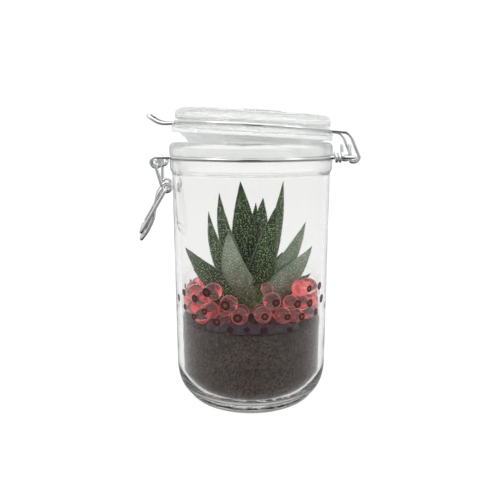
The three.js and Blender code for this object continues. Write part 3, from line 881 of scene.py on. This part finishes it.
# Tip, widest width, the side it grows to and the side its keel faces (degrees from +X), its
# slope at the root and its root's height.
LEAVES = [
    ((-6.9, 6, 140.6), 20, 122, 98, 78, 65), ((21, 3, 141), 18, 20, 322, 66, 65),
    ((8.2, 12, 129.2), 17, 62, 80, 82, 65), ((-21, 5, 133.3), 15, 165, 238, 58, 64),
    ((15, -14, 125.8), 17.5, 300, 286, 68, 61), ((1.6, -15, 85), 8, 268, 270, 50, 66),
    ((-13.5, -22, 112.6), 20.5, 230, 248, 45, 60), ((-27.4, -4, 122.2), 14, 198, 240, 42, 62),
    ((3.5, 20, 125), 12, 88, 88, 72, 62), ((36.2, 1, 114.4), 14, 350, 290, 46, 62),
    ((23, 25, 89), 13, 42, 42, 50, 62), ((-19, 27, 112), 13, 128, 128, 58, 62),
    ((-42, -10, 99.7), 17.5, 215, 262, 26, 60), ((39.7, -7, 99.9), 16.5, 328, 280, 32, 60),
    ((3, 39, 94), 13, 85, 85, 34, 60), ((42, 8, 77.8), 11, 10, 290, 12, 59.5),
    ((-41, 12, 79.8), 11, 170, 245, 12, 59.5), ((27, 32, 78), 12, 50, 50, 18, 59.5),
    ((-26, 32, 74), 12, 128, 128, 18, 59.5),
]
ROOT_OUT = 4        # mm from the crown's axis to a leaf's root
STATION = 0.8       # mm from one section of a blade to the next
TOOTH = 0.6         # mm that a tooth stands out
WAVY = 0.25         # mm that the skin rises and falls
ACROSS = 12         # steps across each side of a blade


def taper(t):
    """Share of the widest width at t, from 0 at the root to 1 at the tip."""
    if t < WIDEST:
        return 0.74 + 0.26 * math.sin(t / WIDEST * math.pi / 2)
    return max(1 - ((t - WIDEST) / (1 - WIDEST)) ** 1.6, 0.0)


def spine_of(row):
    """The leaf's curve: three control points of a quadratic Bezier."""
    tip, _, side, _, slope, root_z = row
    out = Vector((math.cos(math.radians(side)), math.sin(math.radians(side)), 0))
    root = CROWN + out * ROOT_OUT + Vector((0, 0, root_z))
    length = (Vector(tip) - root).length
    rise = math.radians(slope)
    handle = root + 0.5 * length * (out * math.cos(rise) + Vector((0, 0, math.sin(rise))))
    return root, handle, Vector(tip)


def section(half, thick):
    """Across and keel offsets round the blade, with how far across each lies, from -1 to 1."""
    edge = -0.3 * half
    rows = []
    for i in range(ACROSS + 1):
        u = math.sin(math.pi * (i / ACROSS - 0.5))
        ridge = 0.14 * thick * max(0, 1 - abs(u) / 0.14)
        rows.append((u * half, edge + (0.66 * thick - edge) * (1 - abs(u) ** 2.6) + ridge, u, 1))
    for i in range(1, ACROSS):
        u = math.sin(math.pi * (0.5 - i / ACROSS))
        channel = -0.34 * thick - edge
        rows.append((u * half, edge + channel * (1 - abs(u) ** 1.6), u, -1))
    return rows


def blade(row, seed):
    """Points, faces and the along, across and side values of one leaf."""
    tip, width, _, face, _, _ = row
    root, handle, end = spine_of(row)
    look = math.radians(face)
    ahead = Vector((math.cos(look), math.sin(look), 0))
    rnd = random.Random(seed)
    length = (end - root).length
    stations = int(length / STATION)
    ring = 2 * ACROSS
    points, values, faces = [], [], []
    for i in range(stations):
        t = i / stations
        at = root * (1 - t) ** 2 + handle * 2 * t * (1 - t) + end * t ** 2
        along = ((handle - root) * (1 - t) + (end - handle) * t).normalized()
        across = along.cross(ahead).normalized()
        keel = across.cross(along).normalized()
        half = width / 2 * taper(t)
        thick = LEAF_T * (1 - 0.72 * t) * min(1, 0.25 + 3 * (1 - t))
        for s, k, u, outer in section(half, thick):
            saw = 0
            if abs(u) > 0.999 and i % 2 and t > 0.08:
                saw = TOOTH * (0.6 + 0.6 * rnd.random()) * math.copysign(1, s)
                saw *= min(1, 6 * (1 - t))
            wave = WAVY * noise.noise(Vector((u * 2.0, t * 9.0, seed * 7.3)))
            points.append(at + across * (s + saw) + keel * (k + wave * (1 - abs(u))))
            values.append((t, u, outer))
    for i in range(stations - 1):
        for j in range(ring):
            n = (j + 1) % ring
            a, b = i * ring + j, i * ring + n
            faces.append((a, b, b + ring, a + ring))
    points += [root, end]
    values += [(0, 0, 1), (1, 0, 1)]
    last = (stations - 1) * ring
    for j in range(ring):
        n = (j + 1) % ring
        faces.append((len(points) - 2, n, j))
        faces.append((last + j, last + n, len(points) - 1))
    return points, faces, values


# %% [markdown]
# ## Leaf skin
#
# A living skin under a thin wax bloom. It was never made, it grew: the inner side is deep green,
# the outer side greyer, the base paler where little light reached it, the edges pale and the tip
# dry. It is painted in that order, one thin coat over the other, and each coat's mask is either
# noise in millimetres or how far along or across the leaf a point lies. The pale dots are small
# raised pearls of thicker skin, and they are real domes, added in the next cell. Wax gives a
# broad, weak shine, so the roughness is about a half. Three skins are enough for all leaves: the
# deep skin is a darker copy, painted shade for the leaves that stand in the middle and behind,
# and the greyer ones turn their outer side to the camera.

# %% Leaf skin

MOTTLE = 1.3        # mm from one blotch of the mottle to the next
BLOOM_SPOT = 9.0    # mm from one cloud of wax to the next
VEINS, VEIN_RUN = 12, 2.5           # faint lines across each half of a leaf, and breaks along it
MOTTLE_SHARE, BASE_SHARE, RIM_SHARE, TIP_SHARE = 0.26, 0.7, 0.6, 0.8    # how strong each coat is


def leaf_skin(name, inner, outer_side, grey, pearl):
    """Leaf skin. inner and outer_side are its two greens, grey the bloom, pearl the dots' hex."""
    material, tree = new_material(name)
    place = add(tree, "TexCoord").outputs["Object"]
    along, across, outer, raised = [
        add(tree, "Attribute", attribute_name=value).outputs["Fac"]
        for value in ("along", "across", "outer", "pearl")]
    edge = add(tree, "Math", {0: across}, operation="ABSOLUTE").outputs[0]

    lie = add(tree, "CombineXYZ", {0: across, 1: along})
    lay = add(tree, "Mapping", {"Vector": lie.outputs[0], "Scale": (VEINS, VEIN_RUN, 1)})
    veins = add(tree, "TexNoise", {"Vector": lay.outputs[0], "Scale": 1.0, "Detail": 2.0})
    fine = add(tree, "TexNoise", {"Vector": place, "Scale": 1000 / MOTTLE, "Detail": 3.0})
    both = add(tree, "Math", {0: veins.outputs["Fac"], 1: fine.outputs["Fac"]}, operation="ADD")
    mottle = add(tree, "MapRange", {0: both.outputs[0], 1: 0.85, 2: 1.25, 3: 0.0, 4: MOTTLE_SHARE})

    clouds = add(tree, "TexNoise", {"Vector": place, "Scale": 1000 / BLOOM_SPOT, "Detail": 4.0})
    higher = add(tree, "MapRange", {0: along, 1: 0.1, 2: 0.75, 3: 0.5, 4: 1.0})
    cloudy = add(tree, "MapRange", {0: clouds.outputs["Fac"], 1: 0.35, 2: 0.65, 3: 0.3, 4: 1.0})
    haze = add(tree, "Math", {0: cloudy.outputs[0], 1: higher.outputs[0]}, operation="MULTIPLY")
    bloom = add(tree, "Math", {0: haze.outputs[0], 1: grey}, operation="MULTIPLY")

    base = add(tree, "MapRange", {0: along, 1: 0.02, 2: 0.34, 3: BASE_SHARE, 4: 0.0},
               interpolation_type="SMOOTHSTEP")
    rim = add(tree, "MapRange", {0: edge, 1: 0.94, 2: 1.0, 3: 0.0, 4: RIM_SHARE})
    tip = add(tree, "MapRange", {0: along, 1: 0.95, 2: 1.0, 3: 0.0, 4: TIP_SHARE})
    skin = add(tree, "Mix", {0: outer, 6: linear(inner), 7: linear(outer_side)},
               data_type="RGBA").outputs[2]
    for coat, code in ((mottle.outputs[0], "5f7c42"), (bloom.outputs[0], "98a494"),
                       (base.outputs[0], "6f8a48"), (rim.outputs[0], "aab896"),
                       (raised, pearl), (tip.outputs[0], "5e4c3c")):
        skin = add(tree, "Mix", {0: coat, 6: skin, 7: linear(code)}, data_type="RGBA").outputs[2]

    bump = add(tree, "Bump", {
        "Height": both.outputs[0], "Strength": 0.5, "Distance": 0.2 * MM,
    })
    surface = add(tree, "BsdfPrincipled", {
        "Base Color": skin, "Roughness": 0.5, "IOR": 1.45, "Specular IOR Level": 0.25,
        "Normal": bump.outputs[0],
    })
    add(tree, "OutputMaterial", {"Surface": surface.outputs[0]})
    return material


# The deep skin is a darker copy of the leaf's greens: painted shade for the leaves in the middle
# and behind.
SKINS = {
    "deep": leaf_skin("waxy_leaf_skin_shaded_deep_green", "061601", "0d2004", 0.03, "a4c282"),
    "mid": leaf_skin("waxy_leaf_skin_mid_green", "102208", "1e3414", 0.16, "bccea6"),
    "grey": leaf_skin("waxy_leaf_skin_grey_green", "4a5a40", "66765e", 0.8, "ccd8c0"),
}
SKIN_OF = {2: "mid", 3: "mid", 4: "mid", 7: "grey", 8: "mid", 10: "grey", 13: "mid", 14: "grey",
           16: "mid", 17: "mid"}        # by leaf, and the others take the deep skin, darkened as painted shade
print("skins", len(SKINS))

# %% [markdown]
# ## Pearls
#
# The dots could be a bump, but they catch light one by one, and a bump is lost where only the
# mesh is kept. So each is a low dome of two rings and a top. They are strewn in wavering rows:
# one row every step along the blade, and in a row as many as fit the width there. They shrink
# at the very tip and keep clear of the edges.

# %% Pearls

PEARL_STEP = 1.25       # mm from one pearl to the next
PEARL_R = (0.28, 0.5)   # mm, the radius of the smallest and the largest
PEARL_HIGH = 0.45       # a pearl's height as a share of its radius
PEARL_SIDES = 6
PEARL_RINGS = ((1.0, -0.1), (0.72, 0.75))       # shares of its radius and of its height
EDGE_FREE = 0.12        # share of the half width that stays clear at each edge
GAPS = 0.12             # share of pearls that are left out


def pearl_dome(at, normal, along, r):
    """Points and faces of one small dome on the skin."""
    aside = normal.cross(along).normalized()
    along = aside.cross(normal)
    points = []
    for share, height in PEARL_RINGS:
        for k in range(PEARL_SIDES):
            t = 2 * math.pi * (k + share) / PEARL_SIDES
            points.append(at + r * (share * (math.cos(t) * aside + math.sin(t) * along)
                                    + PEARL_HIGH * height * normal))
    points.append(at + normal * r * PEARL_HIGH)
    faces = []
    for k in range(PEARL_SIDES):
        n = (k + 1) % PEARL_SIDES
        faces += [(k, n, PEARL_SIDES + n, PEARL_SIDES + k),
                  (PEARL_SIDES + k, PEARL_SIDES + n, 2 * PEARL_SIDES)]
    return points, faces


def strewn(points, values, stations, seed):
    """Pearls in wavering rows over a blade whose rings are in points, with their values."""
    rnd = random.Random(1000 + seed)
    ring = 2 * ACROSS
    more, more_faces, more_values = [], [], []
    rows = int((stations - 2) * STATION / PEARL_STEP)
    for i in range(1, rows):
        share = (i + 0.3 * (rnd.random() - 0.5)) / rows * (stations - 2)
        low = int(share)
        f = share - low
        loop = [points[low * ring + j].lerp(points[(low + 1) * ring + j], f) for j in range(ring)]
        ahead = (points[(low + 1) * ring] - points[low * ring]).normalized()
        keel = loop[ACROSS // 2] - loop[ACROSS + ACROSS // 2]
        for j in range(ring):
            a, b = loop[j], loop[(j + 1) % ring]
            _, u, outer = values[low * ring + j]
            v = values[low * ring + (j + 1) % ring][1]
            normal = (b - a).cross(ahead).normalized()
            out = normal if normal.dot(keel) * outer > 0 else -normal
            wanted = (b - a).length / PEARL_STEP
            for _ in range(int(wanted) + (rnd.random() < wanted % 1)):
                g = rnd.random()
                at = a.lerp(b, g) + ahead * PEARL_STEP * 0.8 * (rnd.random() - 0.5)
                size = PEARL_R[0] + (PEARL_R[1] - PEARL_R[0]) * rnd.random() ** 1.5
                across = u * (1 - g) + v * g
                if abs(across) > 1 - EDGE_FREE or rnd.random() < GAPS:
                    continue
                size *= min(1, 10 * (1 - share / stations))
                dome, faces = pearl_dome(at, out, ahead, size)
                base = len(points) + len(more)
                more += dome
                more_faces += [[base + k for k in face] for face in faces]
                pale = 0.6 + 0.4 * rnd.random()
                more_values += [(share / stations, across, outer, pale)] * len(dome)
    return more, more_faces, more_values


# %% Leaf pieces

leaf_total = 0
for number, row in enumerate(LEAVES, 1):
    points, faces, values = blade(row, number)
    stations = (len(points) - 2) // (2 * ACROSS)
    more, more_faces, more_values = strewn(points, values, stations, number)
    values = [(*v[:2], max(v[2], 0), 0) for v in values] + more_values
    skin = SKINS[SKIN_OF.get(number, "deep")]
    leaf = make_piece(f"blade_{number:02d}", points + more, faces + more_faces, skin, "jar",
                      [f"leaf_{number:02d}"])
    for place, name in enumerate(("along", "across", "outer", "pearl")):
        mesh_values(leaf, name, [v[place] for v in values])
    leaf_total += triangles(leaf)
print("leaf triangles", leaf_total)

# %% [markdown]
# ## Crown
#
# The short stem that the leaves grow from, with its root end in the soil. Hardly any of it
# shows, so a turned shape roughened a little is enough.

# %% Crown

SCAR = 3.0      # mm from one leaf scar to the next
STEM_SEED = 3   # the vector noise is shifted by a seed, which would else be the time

stem, tree = new_material("pale_stem_skin")
scars = add(tree, "TexNoise", {"Scale": 1000 / SCAR, "Detail": 4.0})
tone = add(tree, "Mix", {0: scars.outputs["Fac"], 6: linear("7d8a58"), 7: linear("a9b084")},
           data_type="RGBA")
bump = add(tree, "Bump", {"Height": scars.outputs["Fac"], "Strength": 0.5, "Distance": 0.4 * MM})
surface = add(tree, "BsdfPrincipled", {
    "Base Color": tone.outputs[2], "Roughness": 0.6, "Normal": bump.outputs[0],
})
add(tree, "OutputMaterial", {"Surface": surface.outputs[0]})

outline = rounded([(0, 42, 0), (4, 42, 1), (5, 44, 1), (5.5, 57, 2), (8, 60, 2), (7.4, 64, 2),
                   (4.5, 69, 2), (0, 70.5, 0)], 4)
points, faces = turned(outline, 48)
noise.seed_set(STEM_SEED)
points = [p + CROWN + 0.35 * noise.noise_vector(p * 0.35) for p in points]
make_piece("crown_stem", points, faces, stem, "jar", ["crown"])

# %% [markdown]
# ## Where the beads lie
#
# The places follow the same rule as the solids: the beads seen from the front have their own
# places, the others lie in courses, and then all of them settle until those that touch only
# press a little. The draws are seeded, so the rule gives the same pile every time.

# %% Bead places

# Azimuths are degrees from the front towards the hinge. A row is a bead's azimuth, height,
# radius and distance from the glass.
SOIL_Z, SOIL_WAVE, BEAD_R = 53.5, 0.5, 5.2
FRONT_BEADS = [
    (-74, 63.5, 5.2, 0), (-65, 71.5, 5.3, 0), (-57, 62, 4.8, 0), (-49, 58, 5, 0),
    (-44, 71, 5.2, 0), (-37, 66, 5, 0), (-33, 77.5, 5.5, 0), (-27, 60, 4.8, 0), (-19, 71, 5.4, 0),
    (-9, 64, 5.1, 0),
    (9, 64, 5.2, 0), (19, 73, 5.4, 0), (25, 62, 5, 0), (16, 79, 3.9, 8), (35, 70, 5, 0),
    (41, 60, 5, 0), (47, 78, 5.3, 0), (50, 69, 5, 0), (57, 60, 5, 0), (61, 77, 5.4, 0),
    (66, 67, 5.1, 0),
]
SUNK_BEADS = [(-15, 56, 4.2, 0), (-3, 56.5, 4.2, 0), (9, 56, 4.2, 0), (29, 54.5, 4.2, 0)]
COURSES = [
    {"count": 28, "inset": 0, "z": SOIL_Z + 6, "from": 72, "thin": 0},
    {"count": 28, "inset": 0.5, "z": SOIL_Z + 13.5, "from": 76, "thin": 0.1},
    {"count": 17, "inset": 8.5, "z": SOIL_Z + 9, "from": 0, "thin": 0.15},
]
PRESSED = 0.8       # mm that two beads which touch are pressed together
NEAR = 1.6          # mm within which two beads are drawn together
ROUNDS = 60         # steps that they take to settle
FACETED = 1.08      # how much further the solids' faceted beads reach than round ones
draw_state = 20417


def draw():
    """A repeatable draw from 0 to 1."""
    global draw_state
    draw_state = (draw_state * 1664525 + 1013904223) % 4294967296
    return draw_state / 4294967296


def bead_at(azimuth, z, r, inset, sunk=False):
    turn = math.radians(azimuth)
    away = BORE_R - GAP - r * FACETED - inset
    return {"at": Vector((away * math.sin(turn), -away * math.cos(turn), z)), "r": r, "sunk": sunk}


def settle(beads):
    """Draws near beads together, pushes pressed ones apart, and keeps all inside the glass."""
    for _ in range(ROUNDS):
        for i, a in enumerate(beads):
            for b in beads[i + 1:]:
                step = b["at"] - a["at"]
                apart = step.length - (a["r"] + b["r"] - PRESSED)
                if apart > NEAR:
                    continue
                step = step.normalized() * apart * 0.25
                if not a["sunk"]:
                    a["at"] += step
                if not b["sunk"]:
                    b["at"] -= step
        for bead in beads:
            at, r = bead["at"], bead["r"]
            far = math.hypot(at.x, at.y) / (BORE_R - GAP - r * FACETED)
            if far > 1:
                at.x /= far
                at.y /= far
            if not bead["sunk"]:
                at.z = max(at.z, SOIL_Z + SOIL_WAVE + GAP + r * FACETED)


def bead_places():
    beads = [bead_at(*row, sunk=True) for row in SUNK_BEADS]
    beads += [bead_at(*row) for row in FRONT_BEADS]
    for number, course in enumerate(COURSES):
        for i in range(course["count"]):
            azimuth = (i + number / 2) / course["count"] * 360 - 180
            r = BEAD_R - 0.5 * draw()
            z = course["z"] + 2 * (draw() - 0.5)
            if abs(azimuth) >= course["from"] and draw() >= course["thin"]:
                beads.append(bead_at(azimuth, z, r, course["inset"]))
    settle(beads)
    return beads


beads = bead_places()
print("beads", len(beads))

# %% [markdown]
# ## Gel beads
#
# Superabsorbent grains swollen in dyed water: almost all water, so the IOR is water's 1.33, and
# the wet skin is smooth. Each bead is a little lens that shows what lies behind it upside down.
# The dye darkens light by the distance that it travels, which is a volume's absorption and not a
# surface colour. The polymer clouds the water slightly. Each bead's coral rim is a painted glow:
# a Layer Weight node paints it, so that towards the edge less light passes and more of the rim's
# coral shows, in place of the bright light from the sides that a real bead bends round its edge.
# The lowest beads are half sunk in the soil: the same gel, but dull mauve and much less clear.

# %% Red gel

GEL_IOR = 1.333
DYE_DEPTH = 9.5             # mm of gel that take the light down to the dye's colour, about 1 / e
GLOW_RIM_FROM, GLOW_RIM_TO = 0.56, 0.8        # how far from facing the eye the painted rim glow starts and is full
GLOW_RIM_CLEAR = 0.1             # the share that still passes at the painted rim


def water_gel(name, clear, veil, rim, dye):
    """Swollen gel. clear is the share that passes, and veil, rim and dye are colours: rim is a
    painted glow along the edge.
    """
    material, tree = new_material(name)
    facing = add(tree, "LayerWeight", {"Blend": 0.5}).outputs["Facing"]
    edge, passing = [
        add(tree, "MapRange", {0: facing, 1: GLOW_RIM_FROM, 2: GLOW_RIM_TO, 3: middle, 4: end}).outputs[0]
        for middle, end in ((0.0, 1.0), (clear, GLOW_RIM_CLEAR))]
    skin = add(tree, "Mix", {0: edge, 6: linear(veil), 7: linear(rim)}, data_type="RGBA")
    surface = add(tree, "BsdfPrincipled", {
        "Base Color": skin.outputs[2], "Roughness": 0.0, "IOR": GEL_IOR,
        "Transmission Weight": passing,
    })
    stain = add(tree, "VolumeAbsorption", {"Color": linear(dye), "Density": 1000 / DYE_DEPTH})
    add(tree, "OutputMaterial", {
        "Surface": lets_lamps_through(tree, surface, linear("ffc8c2")),
        "Volume": stain.outputs[0],
    })
    return material


# The rim colours, ff9082 and 9c727c, are a painted glow along each bead's edge.
gel = water_gel("dyed_water_gel", 0.97, "fdeeee", "ff9082", "ff625e")
# The beads half sunk in the soil are a duller, darker mauve and much less clear.
dull_gel = water_gel("dyed_water_gel_dull_mauve", 0.6, "5c4a54", "9c727c", "9a6c74")

# %% Bead meshes

TRUE_R = 0.98       # a round bead beside the faceted one that stands for it
SMALL_R, SMALL_INSET = 3.6, 0.4         # mm, the small half-sunk beads and how far from the glass

# The azimuth and height of small beads between the sunk ones of the solids.
SMALL_BEADS = [(-33, 55.4), (-26, 54.6), (-21, 55.8), (-9, 54.8), (3, 55.2), (16, 54.6),
               (22, 55.8), (36, 54.8)]
ball_points, ball_faces = ball_shape(4)


def bead_piece(name, some, material, nodes=()):
    points, faces = [], []
    for bead in some:
        gather(points, faces, [bead["at"] + p * bead["r"] * TRUE_R for p in ball_points],
               ball_faces)
    return make_piece(name, points, faces, material, "jar", nodes)


sunk = [bead for bead in beads if bead["sunk"]]
sunk += [bead_at(azimuth, z, SMALL_R, SMALL_INSET, sunk=True) for azimuth, z in SMALL_BEADS]
pile = bead_piece("gel_bead_pile", [b for b in beads if not b["sunk"]], gel, ["gel_beads"])
bead_piece("gel_beads_in_the_soil", sunk, dull_gel)
print("bead triangles", triangles(pile))

# %% [markdown]
# ## Where beads touch the glass
#
# A wet bead that is pressed to the wall sticks to it over a small round patch. No air is left
# there to turn the light back, so one looks straight into the bead, and the patch is a dark red
# spot, even at the sides where the wall is a white band. Each patch is a thin disc, curved like
# the bore and set just into its face, and that view is painted on it: paler in the middle where
# light comes through the bead, dark red towards the edge, and darker still on the beads in the
# soil.

# %% Contact patches

TOUCHING = 1.6      # mm from the glass within which a bead is pressed to it
PATCH_R = 0.5       # a patch's radius as a share of its bead's
PATCH_RISE = 0.9    # mm from the bead's middle up to the patch's
PATCH_IN = 0.06     # mm that a patch lies inside the glass
PATCH_RINGS, PATCH_SIDES = 6, 28
PATCH_TONES = [(0.0, "8a6a52"), (0.35, "6e4438"), (0.58, "561a1e"), (0.85, "42090f"),
               (1.0, "9c3238")]         # from the middle, where one sees through, to the edge

# The patch's colours are a painted view into the bead: light through its middle and shade towards
# its edge, darker for the beads in the soil.
patch_red, tree = new_material("wet_gel_against_glass")
ring_place = add(tree, "Attribute", attribute_name="ring").outputs["Fac"]
own = add(tree, "Attribute", attribute_name="own").outputs["Fac"]
ramp = add(tree, "ValToRGB", {0: ring_place},
           stops=[(share, linear(code)) for share, code in PATCH_TONES])
shade = add(tree, "Mix", {0: own, 6: ramp.outputs[0], 7: linear("30181e")}, data_type="RGBA")
surface = add(tree, "BsdfPrincipled", {
    "Base Color": shade.outputs[2], "Roughness": 0.25, "Specular IOR Level": 0.1,
})
add(tree, "OutputMaterial", {"Surface": surface.outputs[0]})


def wall_patch(azimuth, z, r):
    """A disc of radius r on the bore at azimuth and height z, in millimetres."""
    wall = BORE_R + PATCH_IN
    points, rings = [], []
    for k in range(PATCH_RINGS + 1):
        for i in range(PATCH_SIDES if k else 1):
            t = 2 * math.pi * i / PATCH_SIDES
            a = azimuth + r * k / PATCH_RINGS * math.cos(t) / wall
            points.append(Vector((wall * math.sin(a), -wall * math.cos(a),
                                  z + r * k / PATCH_RINGS * math.sin(t))))
            rings.append(k / PATCH_RINGS)
    faces = []
    for i in range(PATCH_SIDES):
        n = (i + 1) % PATCH_SIDES
        faces.append((0, 1 + i, 1 + n))
        for k in range(PATCH_RINGS - 1):
            a, b = 1 + k * PATCH_SIDES, 1 + (k + 1) * PATCH_SIDES
            faces.append((a + i, b + i, b + n, a + n))
    return points, faces, rings


rnd = random.Random(7)
points, faces, rings, owns = [], [], [], []
for bead in beads:
    away = math.hypot(bead["at"].x, bead["at"].y)
    if BORE_R - away - bead["r"] > TOUCHING:
        continue
    azimuth = math.atan2(bead["at"].x, -bead["at"].y)
    patch, patch_faces, patch_rings = wall_patch(
        azimuth, bead["at"].z + PATCH_RISE, bead["r"] * PATCH_R * (0.8 + 0.35 * rnd.random()))
    gather(points, faces, patch, patch_faces)
    rings += patch_rings
    owns += [0.95 if bead["sunk"] else rnd.random() * 0.7] * len(patch)
patches = make_piece("bead_contact_patches", points, faces, patch_red, "jar")
mesh_values(patches, "ring", rings)
mesh_values(patches, "own", owns)
print("patches", len(owns) // (1 + PATCH_RINGS * PATCH_SIDES))

# %% [markdown]
# ## Soil
#
# Peat-based potting soil, damp and dark: matt black-brown crumbs with redder bits of bark and a
# few pale grains. Seen through the wall it is a fine mottle, and on top it is loose. The body is
# a turned plug whose skin is pushed about by noise, and crumbs are strewn over it in code, each
# one a squashed ball with its own shade.

# %% Potting soil

CRUMB = 1.6         # mm, the usual crumb
GRIT = 1.2          # mm from one bit of grit in the mottle to the next
DAMP = 11.0         # mm from one damp patch to the next
SOIL_TONES = [(0.36, "1e1815"), (0.66, "6c5e58")]

soil_dark, tree = new_material("damp_potting_soil")
place = add(tree, "TexCoord").outputs["Object"]
own = add(tree, "Attribute", attribute_name="own").outputs["Fac"]
crumbs = add(tree, "TexVoronoi", {"Vector": place, "Scale": 1000 / CRUMB})
fine = add(tree, "TexNoise", {
    "Vector": place, "Scale": 1000 / GRIT, "Detail": 6.0, "Roughness": 0.7,
})
mottle = add(tree, "ValToRGB", {0: fine.outputs["Fac"]},
             stops=[(share, linear(code)) for share, code in SOIL_TONES])
slow = add(tree, "TexNoise", {"Vector": place, "Scale": 1000 / DAMP, "Detail": 3.0})
damp = add(tree, "MapRange", {0: slow.outputs["Fac"], 1: 0.35, 2: 0.65, 3: 0.25, 4: 0.0})
wetter = add(tree, "Mix", {0: damp.outputs[0], 6: mottle.outputs[0], 7: linear("1c1614")},
             data_type="RGBA")
bits = add(tree, "MapRange", {0: own, 1: 0.90, 2: 0.93, 3: 0.0, 4: 0.7})
barked = add(tree, "Mix", {0: bits.outputs[0], 6: wetter.outputs[2], 7: linear("74483a")},
             data_type="RGBA")
deep = add(tree, "MapRange", {0: crumbs.outputs["Distance"], 1: 0.0, 2: 0.8, 3: 1.0, 4: 0.0})
bump = add(tree, "Bump", {"Height": deep.outputs[0], "Strength": 0.8, "Distance": 0.5 * MM})
surface = add(tree, "BsdfPrincipled", {
    "Base Color": barked.outputs[2], "Roughness": 0.92, "Specular IOR Level": 0.1,
    "Normal": bump.outputs[0],
})
add(tree, "OutputMaterial", {"Surface": surface.outputs[0]})

# %% Soil body

SOIL_R = BORE_R - GAP
SOIL_FLOOR = FLOOR_Z + GAP
SOIL_SIDES = 288


def soil_outline():
    side = [(SOIL_R, z, 0) for z in range(int(HEEL_Z) + 2, int(SOIL_Z), 1)]
    flat = [(r, SOIL_Z, 0) for r in range(int(SOIL_R), 0, -1)]
    return [Vector(c[:2]) for c in [
        (0, SOIL_FLOOR, 0), (15, SOIL_FLOOR, 0),
        *arc(SOIL_R - HEEL_R, HEEL_Z + 1, HEEL_R, HEEL_Z + 1 - SOIL_FLOOR, -90, 0, 20), *side,
        (SOIL_R, SOIL_Z - 0.3, 0), *flat, (0, SOIL_Z, 0),
    ]]


def crumbled(p):
    """A point of the plug, pushed in by up to half a millimetre, or on top up and down."""
    rough = noise.noise(p * 0.55) * 0.6 + noise.noise(p * 1.7) * 0.4
    if p.z > SOIL_Z - 0.2:
        p.z += SOIL_WAVE * math.sin(p.x * 0.31 + 1) * math.cos(p.y * 0.27) + 1.1 * rough - 0.4
    out = math.hypot(p.x, p.y)
    if out > SOIL_R - 9:
        shrink = 1 - max(rough, 0) * 0.5 / out
        p.x *= shrink
        p.y *= shrink
    return p


points, faces = turned(soil_outline(), SOIL_SIDES)
points = [crumbled(p) for p in points]
soil = make_piece("potting_soil", points, faces, soil_dark, "jar", ["soil"])
mesh_values(soil, "own", [0.5] * len(points))
print("soil triangles", triangles(soil))

# %% Crumbs on the soil

CRUMBS = 2600       # half of them against the glass and half on top

rnd = random.Random(11)
lump_points, lump_faces = ball_shape(1)
points, faces, owns = [], [], []
for i in range(CRUMBS):
    turn = 2 * math.pi * rnd.random()
    size = CRUMB * (0.25 + 0.5 * rnd.random() ** 2)
    beside_glass = i % 2
    if beside_glass:
        away = SOIL_R - size * 0.55 - 0.05
        z = HEEL_Z + 1 + (SOIL_Z - HEEL_Z) * rnd.random()
    else:
        away = (SOIL_R - 1) * math.sqrt(rnd.random())
        z = SOIL_Z + SOIL_WAVE * 0.6
    at = Vector((away * math.cos(turn), away * math.sin(turn), z))
    squash = Vector((0.7 + 0.5 * rnd.random(), 0.7 + 0.5 * rnd.random(), 0.6 + 0.4 * rnd.random()))
    if beside_glass:
        squash.x *= 0.6
    spin = Matrix.Rotation(turn, 3, "Z")
    lump = [at + spin @ (p * squash) * size * (0.85 + 0.3 * noise.noise(p * 3 + at))
            for p in lump_points]
    gather(points, faces, lump, lump_faces)
    owns += [rnd.random()] * len(lump)
crumb_piece = make_piece("soil_crumbs", points, faces, soil_dark, "jar", smooth=False)
mesh_values(crumb_piece, "own", owns)
print("crumb triangles", triangles(crumb_piece))
